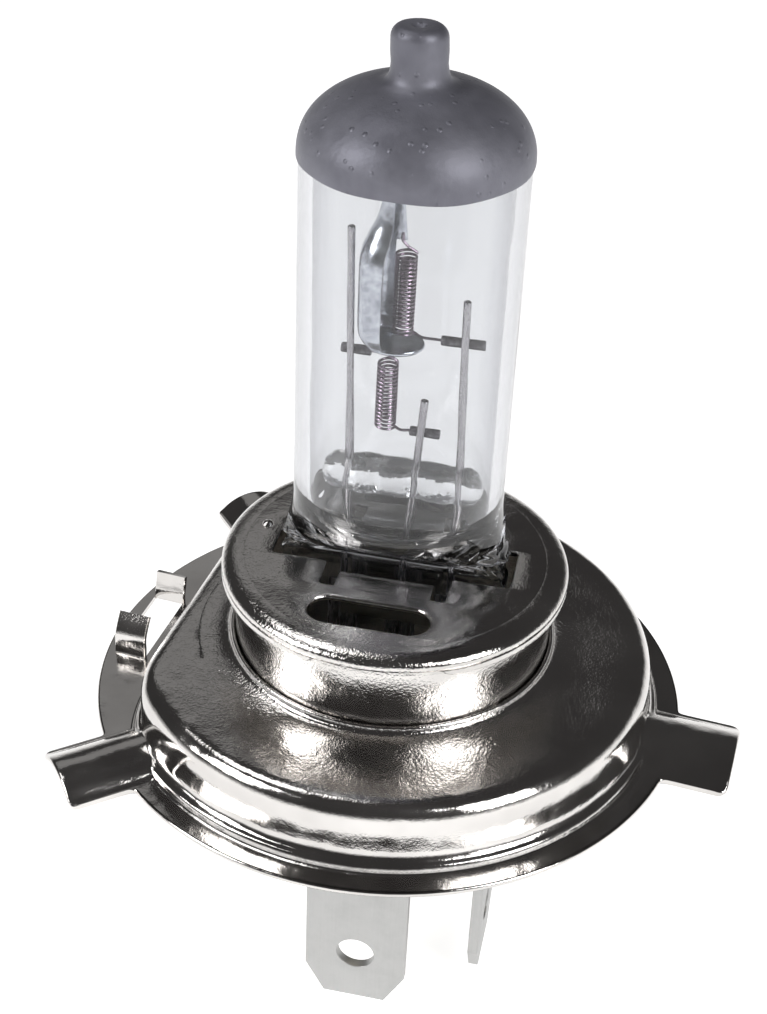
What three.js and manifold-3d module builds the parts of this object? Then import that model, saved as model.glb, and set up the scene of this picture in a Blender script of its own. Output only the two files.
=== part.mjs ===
// Two-filament halogen headlight bulb with a three-lug 43 mm flange and three blade terminals.
// Millimetres. +Z runs along the bulb axis towards the glass tip. The origin is on the axis, in the
// plane of the flange's front face. +X points at the side of the cross terminal and the wide key lug,
// which is up when the bulb is in its headlamp, and -Y at one of the two parallel terminals.
import * as THREE from 'three';
import { ConvexGeometry } from 'three/addons/geometries/ConvexGeometry.js';
import { mergeVertices } from 'three/addons/utils/BufferGeometryUtils.js';
import Module from 'manifold-3d';

const wasm = await Module();
wasm.setup();

// ---- Driving dimensions ----------------------------------------------------------------------

// Glass burner
const GLASS_RADIUS = 7.27;
const GLASS_WALL = 1.0;
const GLASS_BOTTOM = 13.6;
const DOME_START = 41.7;
const DOME_TOP = 46.2;
const DOME_ROUNDNESS = 2.2;
const TIP_RADIUS = 1.62;
const TIP_TOP = 49.6;
const TIP_ROUNDING = 0.8;
const COATING_EDGE = 41.4;
const COATING_THICKNESS = 0.1;
const PINCH_HALF_WIDTH = 8.0;
const PINCH_HALF_THICKNESS = 1.9;
const PINCH_BOTTOM = 2.2;

// Conductors: left, middle and right, seen from -Y
const POST_RADIUS = 0.27;
const POST_BOTTOM = 9.3;
const POSTS = [
  { side: 'left', footX: -3.55, topX: -3.9, topZ: 36.6 },
  { side: 'middle', footX: 0.7, topX: 1.5, topZ: 24.6 },
  { side: 'right', footX: 4.15, topX: 3.85, topZ: 32.3 },
];
const FOIL_SIZE = [2.2, 0.12, 4.4];
const LEAD_RADIUS = 0.4;
const WIRE_RADIUS = 0.13;
const COIL_RADIUS = 0.64;
const COIL_TURNS = 18;
const STEPS_PER_TURN = 7;
const BURNER_FRONT_TO_BACK = 0.65;
const LOW_BEAM = { x: -0.4, bottom: 29.1, top: 34.9 };
const HIGH_BEAM = { x: -1.3, bottom: 21.8, top: 26.8 };
const SLEEVE_RADIUS = 0.34;
const SLEEVE_BORE = 0.19;
const BRIDGE_LENGTH = 11.4;
const BRIDGE_HEIGHT = 2.8;
const BRIDGE_THICKNESS = 3.4;
const BRIDGE_CENTRE_Z = 18.3;
const SHIELD_WALL = 0.22;
const SHIELD_FLOOR = { x: -0.9, halfWidth: 2.05, halfDepth: 1.75, bottom: 28.1, top: 28.4 };

// Metal holder
const CAP_RADIUS = 12.3;
const CAP_TOP = 11.7;
const CAP_SKIRT_BOTTOM = 10.2;
const CAP_EDGE_ROUNDING = 0.7;
const CAP_SLIT = { x: 3.9, width: 1.1, reach: 4.9 };
const CAP_SLOT = { left: -4.6, right: 4.0, y: 7.6, halfWidth: 1.5 };
const CAP_GRIP = { halfWidth: 2.9, bottom: 7.6 };
const CAP_DIMPLE = { x: -9.6, y: 1.0, radius: 0.8, depth: 0.25 };
const SHEET = 0.5;
const COLLAR_RADIUS = 11.35;
const COLLAR_BOTTOM = 3.0;
const FLANGE_RADIUS = 21.5;
const FLANGE_THICKNESS = 0.7;
const PILOT_RADIUS = 19.0;
const PILOT_CHORD = 15.6;
const PILOT_HEIGHT = 4.7;
const NECK_HEIGHT = 5.5;
const LUG_REACH = 25.8;
const LUG_RISE = 1.1;
const LUG_FOOT = 0.35;
const LUGS = [
  { angle: 0, halfWidth: 3.7 },
  { angle: 135, halfWidth: 3.0 },
  { angle: -135, halfWidth: 3.0 },
];
const LATCH = { outer: -20.4, inner: -18.0, front: -3.9, back: 3.6, thickness: 0.5 };
const KEY_TURN = THREE.MathUtils.degToRad(-5.7);

// Rear end
const SHELL_RADIUS = 12.2;
const SHELL_FLANGE_RADIUS = 14.0;
const SHELL_BOTTOM = -8.6;
const SHELL_LIP = 1.4;
const INSULATOR_TOP = -5.8;
const INSULATOR_BOTTOM = -12.4;
// From, to in X, from, to in Y, and corner radius.
const INSULATOR_BOSS = [-6.9, 9.5, -7.6, 7.6, 3.9];
const BLADE_WIDTH = 8.0;
const BLADE_THICKNESS = 0.8;
const BLADE_SHOULDER = -12.8;
const BLADE_ROOT_THICKNESS = 0.6;
const BLADE_TOP = -5.0;
const BLADE_CHAMFER = [1.55, 2.9];
const BLADE_HOLE_RADIUS = 1.5;
const BLADE_HOLE_FROM_END = 4.85;
const TANG_HALF_WIDTH = 1.5;
const TANG_TOP = -2.6;
const SIDE_BLADE_Y = 6.2;
const SIDE_BLADE_X = -0.45;
const SIDE_BLADE_BOTTOM = -27.6;
const CROSS_BLADE_X = 8.5;
const CROSS_BLADE_BOTTOM = -26.1;

// ---- Solids ------------------------------------------------------------------------------------

// Merges shared corners and makes sure that the faces point out.
function closed(geometry) {
  geometry.deleteAttribute('normal');
  geometry.deleteAttribute('uv');
  const merged = mergeVertices(geometry, 1e-5);
  const index = merged.index.array;
  const p = merged.attributes.position;
  const a = new THREE.Vector3();
  const b = new THREE.Vector3();
  const c = new THREE.Vector3();
  const kept = [];
  let volume = 0;
  for (let i = 0; i < index.length; i += 3) {
    const [i0, i1, i2] = [index[i], index[i + 1], index[i + 2]];
    if (i0 === i1 || i1 === i2 || i2 === i0) continue;
    kept.push(i0, i1, i2);
    a.fromBufferAttribute(p, i0);
    b.fromBufferAttribute(p, i1);
    c.fromBufferAttribute(p, i2);
    volume += a.dot(b.cross(c));
  }
  if (volume < 0) {
    for (let i = 0; i < kept.length; i += 3) {
      [kept[i + 1], kept[i + 2]] = [kept[i + 2], kept[i + 1]];
    }
  }
  merged.setIndex(kept);
  return merged;
}

function toSolid(geometry) {
  const shape = closed(geometry);
  return new wasm.Manifold(new wasm.Mesh({
    numProp: 3,
    vertProperties: new Float32Array(shape.attributes.position.array),
    triVerts: new Uint32Array(shape.index.array),
  }));
}

function toGeometry(solid) {
  const mesh = solid.getMesh();
  const geometry = new THREE.BufferGeometry();
  geometry.setAttribute('position', new THREE.BufferAttribute(mesh.vertProperties, 3));
  geometry.setIndex(new THREE.BufferAttribute(mesh.triVerts, 1));
  return geometry;
}

// Turns a profile of [radius, height] points round the bulb axis.
function lathe(profile, segments = 64) {
  const points = profile.map(([r, z]) => new THREE.Vector2(r, z));
  return closed(new THREE.LatheGeometry(points, segments).rotateX(Math.PI / 2));
}

function block(x0, x1, y0, y1, z0, z1) {
  const geometry = new THREE.BoxGeometry(x1 - x0, y1 - y0, z1 - z0);
  return geometry.translate((x0 + x1) / 2, (y0 + y1) / 2, (z0 + z1) / 2);
}

// A flat outline pushed up from z0 to z1.
function plate(outline, z0, z1, curveSegments = 12) {
  const shape = outline instanceof THREE.Shape ? outline : new THREE.Shape(outline);
  const options = { depth: z1 - z0, bevelEnabled: false, curveSegments };
  return new THREE.ExtrudeGeometry(shape, options).translate(0, 0, z0);
}

// A rectangle with rounded corners; with the largest radius it has fully round ends.
function roundedRectangle(x0, x1, y0, y1, radius) {
  const shape = new THREE.Shape();
  shape.absarc(x1 - radius, y1 - radius, radius, 0, Math.PI / 2);
  shape.absarc(x0 + radius, y1 - radius, radius, Math.PI / 2, Math.PI);
  shape.absarc(x0 + radius, y0 + radius, radius, Math.PI, Math.PI * 1.5);
  shape.absarc(x1 - radius, y0 + radius, radius, Math.PI * 1.5, Math.PI * 2);
  return shape;
}

// A round wire along a line of points.
function wire(points, radius, sides, steps) {
  const path = new THREE.CatmullRomCurve3(points.map((p) => new THREE.Vector3(...p)));
  const corners = [];
  for (let i = 0; i < sides; i++) {
    const angle = (i / sides) * Math.PI * 2;
    corners.push(new THREE.Vector2(radius * Math.cos(angle), radius * Math.sin(angle)));
  }
  const options = { steps, extrudePath: path, bevelEnabled: false };
  return closed(new THREE.ExtrudeGeometry(new THREE.Shape(corners), options));
}

function pin(radius, x, y, z0, z1, sides = 12) {
  const geometry = new THREE.CylinderGeometry(radius, radius, z1 - z0, sides);
  return geometry.rotateX(Math.PI / 2).translate(x, y, (z0 + z1) / 2);
}

// Joins closed outlines of equal length into a skin. An open run gets flat ends; a closed run
// comes back to its first outline, as the surface of a ring does. Outlines run counterclockwise.
function skin(outlines, run) {
  const count = outlines[0].length;
  const positions = outlines.flat(2);
  const faces = [];
  const spans = run === 'closed' ? outlines.length : outlines.length - 1;
  for (let i = 0; i < spans; i++) {
    const j = (i + 1) % outlines.length;
    for (let k = 0; k < count; k++) {
      const n = (k + 1) % count;
      faces.push(i * count + k, i * count + n, j * count + n);
      faces.push(i * count + k, j * count + n, j * count + k);
    }
  }
  if (run === 'open') {
    const last = (outlines.length - 1) * count;
    const flat = outlines[0].map(([x, y]) => new THREE.Vector2(x, y));
    for (const [a, b, c] of THREE.ShapeUtils.triangulateShape(flat, [])) {
      faces.push(a, c, b);
      faces.push(last + a, last + b, last + c);
    }
  }
  const geometry = new THREE.BufferGeometry();
  geometry.setAttribute('position', new THREE.BufferAttribute(new Float32Array(positions), 3));
  geometry.setIndex(faces);
  return geometry;
}

const object = new THREE.Group();

function add(name, geometry, color, roughness, metalness) {
  const material = new THREE.MeshStandardMaterial({ color, roughness, metalness });
  const mesh = new THREE.Mesh(geometry, material);
  mesh.name = name;
  object.add(mesh);
  return mesh;
}

// ---- Glass burner --------------------------------------------------------------------------------

// Outer line of the bulb from the start of the dome to the top of the exhaust tip, moved out by grow.
function domeLine(grow, steps) {
  const line = [];
  const radius = GLASS_RADIUS + grow;
  const tip = TIP_RADIUS + grow;
  const rise = DOME_TOP - DOME_START + grow;
  const tipFillet = 0.5;
  for (let i = 0; i <= steps; i++) {
    const angle = (i / steps) * Math.PI / 2;
    const r = radius * Math.cos(angle) ** (2 / DOME_ROUNDNESS);
    if (r < tip + tipFillet) break;
    line.push([r, DOME_START + rise * Math.sin(angle) ** (2 / DOME_ROUNDNESS)]);
  }
  line.push([tip, DOME_TOP + grow + tipFillet]);
  line.push([tip, TIP_TOP + grow - TIP_ROUNDING]);
  line.push([tip - TIP_ROUNDING * 0.3, TIP_TOP + grow - TIP_ROUNDING * 0.3]);
  line.push([tip - TIP_ROUNDING, TIP_TOP + grow]);
  line.push([0, TIP_TOP + grow]);
  return line;
}

// Inner line of the bulb, from the top down to the open bottom.
function innerLine(steps) {
  const line = [];
  const radius = GLASS_RADIUS - GLASS_WALL;
  for (let i = 0; i <= steps; i++) {
    const angle = (1 - i / steps) * Math.PI / 2;
    const rise = (DOME_TOP - GLASS_WALL - DOME_START) * Math.sin(angle) ** (2 / DOME_ROUNDNESS);
    line.push([i === 0 ? 0 : radius * Math.cos(angle) ** (2 / DOME_ROUNDNESS), DOME_START + rise]);
  }
  line.push([radius, GLASS_BOTTOM]);
  return line;
}

const glassSides = 36;
const domeSteps = 9;
const envelope = lathe([
  ...innerLine(domeSteps - 1), [GLASS_RADIUS, GLASS_BOTTOM], ...domeLine(0, domeSteps),
], glassSides);
add('glass_envelope', envelope, 0xeef2f6, 0.05, 0.0);

// The coating is a thin skin over the dome and the tip.
const coatingGap = 0.03;
const coatingOuterRadius = GLASS_RADIUS + coatingGap + COATING_THICKNESS;
const coatingInside = domeLine(coatingGap, domeSteps).reverse();
coatingInside.push([GLASS_RADIUS + coatingGap, COATING_EDGE]);
const coatingOutside = domeLine(COATING_THICKNESS + coatingGap, domeSteps);
coatingOutside.unshift([coatingOuterRadius, COATING_EDGE]);
const coating = lathe([...coatingInside, ...coatingOutside], glassSides);
add('dome_coating', coating, 0x6e6e78, 0.55, 0.2);

// The foot of the bulb is pressed flat while hot, and seals the three conductors in.
const glassGap = 0.05;
const neckPoints = [];
const neckSides = 28;
for (let i = 0; i < neckSides; i++) {
  const angle = (i / neckSides) * Math.PI * 2;
  const r = GLASS_RADIUS - glassGap;
  neckPoints.push(new THREE.Vector3(
    r * Math.cos(angle), r * Math.sin(angle), GLASS_BOTTOM - glassGap,
  ));
}
const pressTop = CAP_TOP + 0.25;
for (const x of [-PINCH_HALF_WIDTH, PINCH_HALF_WIDTH]) {
  for (const y of [-PINCH_HALF_THICKNESS, PINCH_HALF_THICKNESS]) {
    neckPoints.push(new THREE.Vector3(x, y, pressTop));
  }
}
let pinch = toSolid(new ConvexGeometry(neckPoints)).add(toSolid(block(
  -PINCH_HALF_WIDTH, PINCH_HALF_WIDTH, -PINCH_HALF_THICKNESS, PINCH_HALF_THICKNESS,
  PINCH_BOTTOM, pressTop + 0.3,
)));
const channelRadius = 0.55;
const pocketGap = 0.15;
const [foilWidth, foilThickness, foilHeight] = FOIL_SIZE;
const foilTop = POST_BOTTOM - 0.2;
const foilBottom = foilTop - foilHeight;
for (const post of POSTS) {
  const channel = pin(channelRadius, post.footX, 0, PINCH_BOTTOM - 1, GLASS_BOTTOM + 1);
  const pocket = block(
    post.footX - foilWidth / 2 - pocketGap, post.footX + foilWidth / 2 + pocketGap,
    -foilThickness / 2 - pocketGap, foilThickness / 2 + pocketGap,
    foilBottom - pocketGap, foilTop + pocketGap,
  );
  pinch = pinch.subtract(toSolid(channel)).subtract(toSolid(pocket));
}
add('pinch_seal', toGeometry(pinch), 0xe6ebef, 0.08, 0.0);

// ---- Conductors and filaments --------------------------------------------------------------------

for (const post of POSTS) {
  const line = [
    [post.footX, 0, POST_BOTTOM], [post.footX, 0, GLASS_BOTTOM], [post.topX, 0, post.topZ],
  ];
  add(`support_post_${post.side}`, wire(line, POST_RADIUS, 10, 6), 0x8d8690, 0.35, 1.0);
  const foil = block(
    post.footX - foilWidth / 2, post.footX + foilWidth / 2,
    -foilThickness / 2, foilThickness / 2, foilBottom, foilTop,
  );
  add(`seal_foil_${post.side}`, foil, 0x9a9ca0, 0.3, 1.0);
}

// The coil winds down from its top leg to its bottom leg.
function coil(filament, topLeg, bottomLeg) {
  const points = [...topLeg];
  const steps = COIL_TURNS * STEPS_PER_TURN;
  for (let i = 0; i <= steps; i++) {
    const angle = (i / STEPS_PER_TURN) * Math.PI * 2;
    const z = filament.top - (i / steps) * (filament.top - filament.bottom);
    points.push([
      filament.x + COIL_RADIUS * Math.cos(angle),
      BURNER_FRONT_TO_BACK + COIL_RADIUS * Math.sin(angle),
      z,
    ]);
  }
  points.push(...bottomLeg);
  return wire(points, WIRE_RADIUS, 4, points.length - 1);
}

// The outer end of each leg lies in a crimp sleeve; the low-beam coil's top leg is welded to the shield.
const legY = BURNER_FRONT_TO_BACK;
const sleeveHeights = {
  left: HIGH_BEAM.top + 0.6,
  middle: HIGH_BEAM.bottom - 0.1,
  right: LOW_BEAM.bottom - 0.2,
};
const lowTop = [
  [LOW_BEAM.x - 0.3, legY + 0.5, LOW_BEAM.top + 1.3],
  [LOW_BEAM.x + 0.3, legY + 0.1, LOW_BEAM.top + 0.5],
];
const lowBottom = [
  [LOW_BEAM.x + 1.2, legY + 0.05, LOW_BEAM.bottom - 0.1], [1.8, legY, sleeveHeights.right],
  [2.6, legY, sleeveHeights.right],
];
add('low_beam_filament', coil(LOW_BEAM, lowTop, lowBottom), 0x77747a, 0.4, 1.0);

const highTop = [
  [-2.9, legY, sleeveHeights.left], [-2.3, legY, sleeveHeights.left],
  [HIGH_BEAM.x + 0.1, legY - 0.1, HIGH_BEAM.top + 0.45],
];
const highBottom = [
  [HIGH_BEAM.x + 1.1, legY + 0.05, HIGH_BEAM.bottom - 0.1], [0.2, legY, sleeveHeights.middle],
  [0.8, legY, sleeveHeights.middle],
];
add('high_beam_filament', coil(HIGH_BEAM, highTop, highBottom), 0x77747a, 0.4, 1.0);

// Crimp sleeves hold the filament legs and are welded on behind the posts.
const sleeves = [
  { name: 'crimp_sleeve_left', from: -4.6, to: -2.5, z: sleeveHeights.left },
  { name: 'crimp_sleeve_middle', from: 0.45, to: 2.5, z: sleeveHeights.middle },
  { name: 'crimp_sleeve_right', from: 2.2, to: 5.2, z: sleeveHeights.right },
];
for (const sleeve of sleeves) {
  const half = (sleeve.to - sleeve.from) / 2;
  const profile = [
    [SLEEVE_BORE, -half], [SLEEVE_RADIUS, -half], [SLEEVE_RADIUS, half], [SLEEVE_BORE, half],
    [SLEEVE_BORE, -half],
  ];
  const mesh = add(sleeve.name, lathe(profile, 12), 0x55555a, 0.5, 1.0);
  mesh.position.set((sleeve.from + sleeve.to) / 2, legY, sleeve.z);
  mesh.rotation.y = Math.PI / 2;
}

// The quartz bridge is a bar melted round the three posts to hold them apart.
const bridgeSection = roundedRectangle(
  -BRIDGE_HEIGHT / 2, BRIDGE_HEIGHT / 2, -BRIDGE_THICKNESS / 2, BRIDGE_THICKNESS / 2,
  BRIDGE_HEIGHT * 0.45,
);
const bridgeX = 0.15;
const bridgeHoleRadius = 0.5;
const bar = plate(bridgeSection, -BRIDGE_LENGTH / 2, BRIDGE_LENGTH / 2, 5).rotateY(Math.PI / 2);
let bridge = toSolid(bar.translate(bridgeX, 0, BRIDGE_CENTRE_Z));
for (const post of POSTS) {
  const share = (BRIDGE_CENTRE_Z - GLASS_BOTTOM) / (post.topZ - GLASS_BOTTOM);
  const x = post.footX + (post.topX - post.footX) * share;
  const hole = pin(
    bridgeHoleRadius, x, 0, BRIDGE_CENTRE_Z - BRIDGE_HEIGHT, BRIDGE_CENTRE_Z + BRIDGE_HEIGHT,
  );
  bridge = bridge.subtract(toSolid(hole));
}
add('quartz_bridge', toGeometry(bridge), 0xdfe5ea, 0.08, 0.0);

// The beam shield is a trough with a floor below the low-beam coil and a strap above it.
const troughStations = [
  { z: 28.3, keel: -3.0, rim: -1.5, half: 1.9 },
  { z: 29.3, keel: -3.35, rim: -1.5, half: 2.2 },
  { z: 34.4, keel: -3.35, rim: -1.5, half: 2.2 },
  { z: 35.8, keel: -3.1, rim: -1.3, half: 1.7 },
  { z: 37.2, keel: -2.3, rim: -1.2, half: 1.0 },
  { z: 39.6, keel: -1.9, rim: -1.2, half: 0.75 },
];
const troughSections = troughStations.map(({ z, keel, rim, half }) => {
  const steps = 10;
  const arc = (inset) => Array.from({ length: steps + 1 }, (_, i) => {
    const angle = (0.5 - i / steps) * Math.PI;
    const depth = rim - keel - inset;
    return [rim - depth * Math.cos(angle), legY + (half - inset) * Math.sin(angle), z];
  });
  return [...arc(0), ...arc(SHIELD_WALL).reverse()];
});
const trough = toSolid(skin(troughSections, 'open'));
const floorOutline = new THREE.Shape();
floorOutline.absellipse(
  SHIELD_FLOOR.x, legY, SHIELD_FLOOR.halfWidth, SHIELD_FLOOR.halfDepth, 0, Math.PI * 2,
);
const floor = plate(floorOutline, SHIELD_FLOOR.bottom, SHIELD_FLOOR.top, 20);
const shield = trough.add(toSolid(floor));
add('beam_shield', toGeometry(shield), 0xaeb4bd, 0.15, 1.0);

// ---- Metal holder ----------------------------------------------------------------------------------

// The holder cap is a shallow pressed lid with a slot for the pinch, slits, and two bent-in grips.
const edgeX = CAP_RADIUS - CAP_EDGE_ROUNDING;
const edgeZ = CAP_TOP - CAP_EDGE_ROUNDING;
const capOutside = [];
const roundSteps = 3;
for (let i = 0; i <= roundSteps; i++) {
  const angle = (i / roundSteps) * Math.PI / 2;
  capOutside.push([
    edgeX + CAP_EDGE_ROUNDING * Math.cos(angle), edgeZ + CAP_EDGE_ROUNDING * Math.sin(angle),
  ]);
}
let cap = toSolid(lathe([
  [0, CAP_TOP - SHEET], [edgeX, CAP_TOP - SHEET], [CAP_RADIUS - SHEET, edgeZ],
  [CAP_RADIUS - SHEET, CAP_SKIRT_BOTTOM], [CAP_RADIUS, CAP_SKIRT_BOTTOM], ...capOutside,
  [0, CAP_TOP],
], 60));
const pinchSlot = { halfLength: PINCH_HALF_WIDTH + 0.5, halfWidth: PINCH_HALF_THICKNESS + 0.3 };
const cutTop = CAP_TOP + 1;
const cutBottom = CAP_TOP - 1;
cap = cap.subtract(toSolid(block(
  -pinchSlot.halfLength, pinchSlot.halfLength, -pinchSlot.halfWidth, pinchSlot.halfWidth,
  cutBottom, cutTop,
)));
for (const side of [-1, 1]) {
  const slit = block(
    side * CAP_SLIT.x - CAP_SLIT.width / 2, side * CAP_SLIT.x + CAP_SLIT.width / 2,
    -CAP_SLIT.reach, CAP_SLIT.reach, cutBottom, cutTop,
  );
  cap = cap.subtract(toSolid(slit));
}
const gripSide = pinchSlot.halfWidth - 0.1;
for (const side of [-1, 1]) {
  const slot = roundedRectangle(
    CAP_SLOT.left, CAP_SLOT.right, side * CAP_SLOT.y - CAP_SLOT.halfWidth,
    side * CAP_SLOT.y + CAP_SLOT.halfWidth, CAP_SLOT.halfWidth - 0.01,
  );
  cap = cap.subtract(toSolid(plate(slot, cutBottom, cutTop, 6)));
  const grip = block(
    -CAP_GRIP.halfWidth, CAP_GRIP.halfWidth, gripSide, gripSide + SHEET,
    CAP_GRIP.bottom, CAP_TOP - 0.1,
  );
  cap = cap.add(toSolid(side > 0 ? grip : grip.rotateZ(Math.PI)));
}
// The skirt is shorter over two stretches between its welds.
const windowHalfAngle = 21;
const windowRise = 0.5;
for (const middle of [-84, 96]) {
  const sector = [new THREE.Vector2(0, 0)];
  for (let angle = middle - windowHalfAngle; angle <= middle + windowHalfAngle; angle += 7) {
    const turn = THREE.MathUtils.degToRad(angle);
    sector.push(new THREE.Vector2(Math.cos(turn), Math.sin(turn)).multiplyScalar(CAP_RADIUS + 2));
  }
  const window = plate(sector, CAP_SKIRT_BOTTOM - 1, CAP_SKIRT_BOTTOM + windowRise);
  cap = cap.subtract(toSolid(window));
}
const dimple = pin(
  CAP_DIMPLE.radius, CAP_DIMPLE.x, CAP_DIMPLE.y, CAP_TOP - CAP_DIMPLE.depth, CAP_TOP + 1, 14,
);
cap = cap.subtract(toSolid(dimple));
add('holder_cap', toGeometry(cap), 0x6a6a6e, 0.25, 1.0);

const collarTop = CAP_TOP - SHEET - 0.1;
const collar = lathe([
  [COLLAR_RADIUS - SHEET, COLLAR_BOTTOM], [COLLAR_RADIUS, COLLAR_BOTTOM],
  [COLLAR_RADIUS, collarTop], [COLLAR_RADIUS - SHEET, collarTop],
  [COLLAR_RADIUS - SHEET, COLLAR_BOTTOM],
], 48);
add('holder_collar', collar, 0x84827f, 0.3, 1.0);

// The base ring is one pressing: a flange, a raised pilot with a flat on one side, and a neck.
// An outline of the pilot, moved in by inset. High powers keep the corners beside the flat tight.
const ringSegments = 60;
const cornerSharpness = 80;
function pilotOutline(inset, z) {
  return Array.from({ length: ringSegments }, (_, k) => {
    const angle = (k / ringSegments) * Math.PI * 2;
    const round = 1 / (PILOT_RADIUS - inset);
    const flat = Math.max(0, -Math.cos(angle)) / (PILOT_CHORD - inset);
    const r = 1 / (round ** cornerSharpness + flat ** cornerSharpness) ** (1 / cornerSharpness);
    return [r * Math.cos(angle), r * Math.sin(angle), z];
  });
}
function circleOutline(radius, z) {
  return Array.from({ length: ringSegments }, (_, k) => {
    const angle = (k / ringSegments) * Math.PI * 2;
    return [radius * Math.cos(angle), radius * Math.sin(angle), z];
  });
}
const neckRadius = COLLAR_RADIUS + 0.15;
const underside = PILOT_HEIGHT - FLANGE_THICKNESS;
const pressing = skin([
  circleOutline(FLANGE_RADIUS, -FLANGE_THICKNESS), circleOutline(FLANGE_RADIUS, 0),
  pilotOutline(-0.75, 0), pilotOutline(-0.35, 0.25), pilotOutline(-0.1, 0.9), pilotOutline(0, 1.6),
  pilotOutline(0, 3.6), pilotOutline(0.3, 4.35), pilotOutline(1.05, PILOT_HEIGHT),
  circleOutline(13.3, PILOT_HEIGHT), circleOutline(12.4, 4.95), circleOutline(12.0, NECK_HEIGHT),
  circleOutline(neckRadius, NECK_HEIGHT), circleOutline(neckRadius, underside),
  pilotOutline(1.2, underside), pilotOutline(FLANGE_THICKNESS, 3.4),
  pilotOutline(FLANGE_THICKNESS, 1.4), pilotOutline(0.45, 0.1), pilotOutline(0, -FLANGE_THICKNESS),
], 'closed');
let baseRing = toSolid(pressing);

// Section of a lug across its width: an arched channel with a narrow foot on each side.
function lugArch(halfWidth) {
  const w = halfWidth - LUG_FOOT;
  const radius = (w * w + LUG_RISE * LUG_RISE) / (2 * LUG_RISE);
  const halfAngle = Math.asin(w / radius);
  const centreZ = LUG_RISE - radius;
  const steps = 8;
  const arc = (r) => Array.from({ length: steps + 1 }, (_, i) => {
    const angle = Math.PI / 2 + halfAngle - (i / steps) * halfAngle * 2;
    return [r * Math.cos(angle), centreZ + r * Math.sin(angle)];
  });
  return [
    [-halfWidth, -FLANGE_THICKNESS], [-halfWidth, 0], ...arc(radius), [halfWidth, 0],
    [halfWidth, -FLANGE_THICKNESS], ...arc(radius - FLANGE_THICKNESS).reverse(),
  ];
}
// A section given as [across, height] points, run straight out along +X between two radii.
function runOut(section, from, to) {
  const outline = section.map(([across, height]) => new THREE.Vector2(across, height));
  return plate(outline, from, to).rotateX(Math.PI / 2).rotateZ(Math.PI / 2);
}
const lugRoot = 18.8;
const flangeCutFrom = 19.85;
for (const lug of LUGS) {
  const turn = THREE.MathUtils.degToRad(lug.angle);
  const w = lug.halfWidth - LUG_FOOT;
  const clearance = block(flangeCutFrom, FLANGE_RADIUS + 0.5, -w, w, -2, 2).rotateZ(turn);
  const arch = runOut(lugArch(lug.halfWidth), lugRoot, LUG_REACH).rotateZ(turn);
  baseRing = baseRing.subtract(toSolid(clearance)).add(toSolid(arch));
}

// Two latch tabs are lanced out of the strip beside the flat and bent up at the ends of their window.
const { front: tabFront, back: tabBack, thickness: tabSheet } = LATCH;
const latchWindow = block(LATCH.outer, LATCH.inner, tabFront, tabBack, -2, 2);
const frontTab = runOut([
  [tabFront - tabSheet, -tabSheet], [tabFront + tabSheet, -tabSheet], [tabFront + tabSheet, 1.4],
  [tabFront + 1.5, 3.0], [tabFront + 1.1, 3.2], [tabFront - 0.05, 1.6], [tabFront - tabSheet, 0],
], LATCH.outer, LATCH.inner);
const backTab = runOut([
  [tabBack - tabSheet, -tabSheet], [tabBack + tabSheet, -tabSheet], [tabBack + tabSheet, 0],
  [tabBack + 0.7, 2.1], [tabBack + 0.2, 2.2], [tabBack - tabSheet, 0.2],
], LATCH.outer, LATCH.inner);
baseRing = baseRing.subtract(toSolid(latchWindow)).add(toSolid(frontTab)).add(toSolid(backTab));
const ring = add('base_ring', toGeometry(baseRing), 0x6c6b6e, 0.25, 1.0);
ring.rotation.z = KEY_TURN;

// ---- Rear end --------------------------------------------------------------------------------------

// The rear shell is welded under the pilot, and its lower edge is rolled in under the insulator.
const shellTop = underside - 0.3;
const shellBore = COLLAR_RADIUS + 0.3;
const rearShell = lathe([
  [shellBore, shellTop], [shellBore, SHELL_BOTTOM + SHEET],
  [SHELL_RADIUS - SHELL_LIP, SHELL_BOTTOM + SHEET], [SHELL_RADIUS - SHELL_LIP, SHELL_BOTTOM],
  [SHELL_RADIUS - 0.3, SHELL_BOTTOM], [SHELL_RADIUS, SHELL_BOTTOM + 0.3],
  [SHELL_RADIUS, shellTop - SHEET], [SHELL_FLANGE_RADIUS, shellTop - SHEET],
  [SHELL_FLANGE_RADIUS, shellTop], [shellBore, shellTop],
], 48);
add('rear_shell', rearShell, 0x8a8a88, 0.35, 1.0);

const blades = [
  { name: 'terminal_front', x: SIDE_BLADE_X, y: -SIDE_BLADE_Y, turn: 0, bottom: SIDE_BLADE_BOTTOM },
  { name: 'terminal_back', x: SIDE_BLADE_X, y: SIDE_BLADE_Y, turn: 0, bottom: SIDE_BLADE_BOTTOM },
  { name: 'terminal_cross', x: CROSS_BLADE_X, y: 0, turn: Math.PI / 2, bottom: CROSS_BLADE_BOTTOM },
];
// The insulator is a disc held in the shell, with a boss that stands out through the lip.
const discRadius = COLLAR_RADIUS - 0.1;
const discBottom = SHELL_BOTTOM + SHEET + 0.1;
const boss = roundedRectangle(...INSULATOR_BOSS);
let insulator = toSolid(lathe([
  [0, discBottom], [discRadius, discBottom], [discRadius, INSULATOR_TOP], [0, INSULATOR_TOP],
], 40)).add(toSolid(plate(boss, INSULATOR_BOTTOM, discBottom + 0.5, 5)));
const bladeGap = 0.3;
for (const blade of blades) {
  const slot = block(
    -BLADE_WIDTH / 2 - bladeGap, BLADE_WIDTH / 2 + bladeGap,
    -BLADE_ROOT_THICKNESS / 2 - bladeGap, BLADE_ROOT_THICKNESS / 2 + bladeGap,
    INSULATOR_BOTTOM - 1, INSULATOR_TOP + 1,
  );
  insulator = insulator.subtract(toSolid(slot.rotateZ(blade.turn).translate(blade.x, blade.y, 0)));
}
add('insulator', toGeometry(insulator), 0xd9d4c6, 0.6, 0.0);

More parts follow.
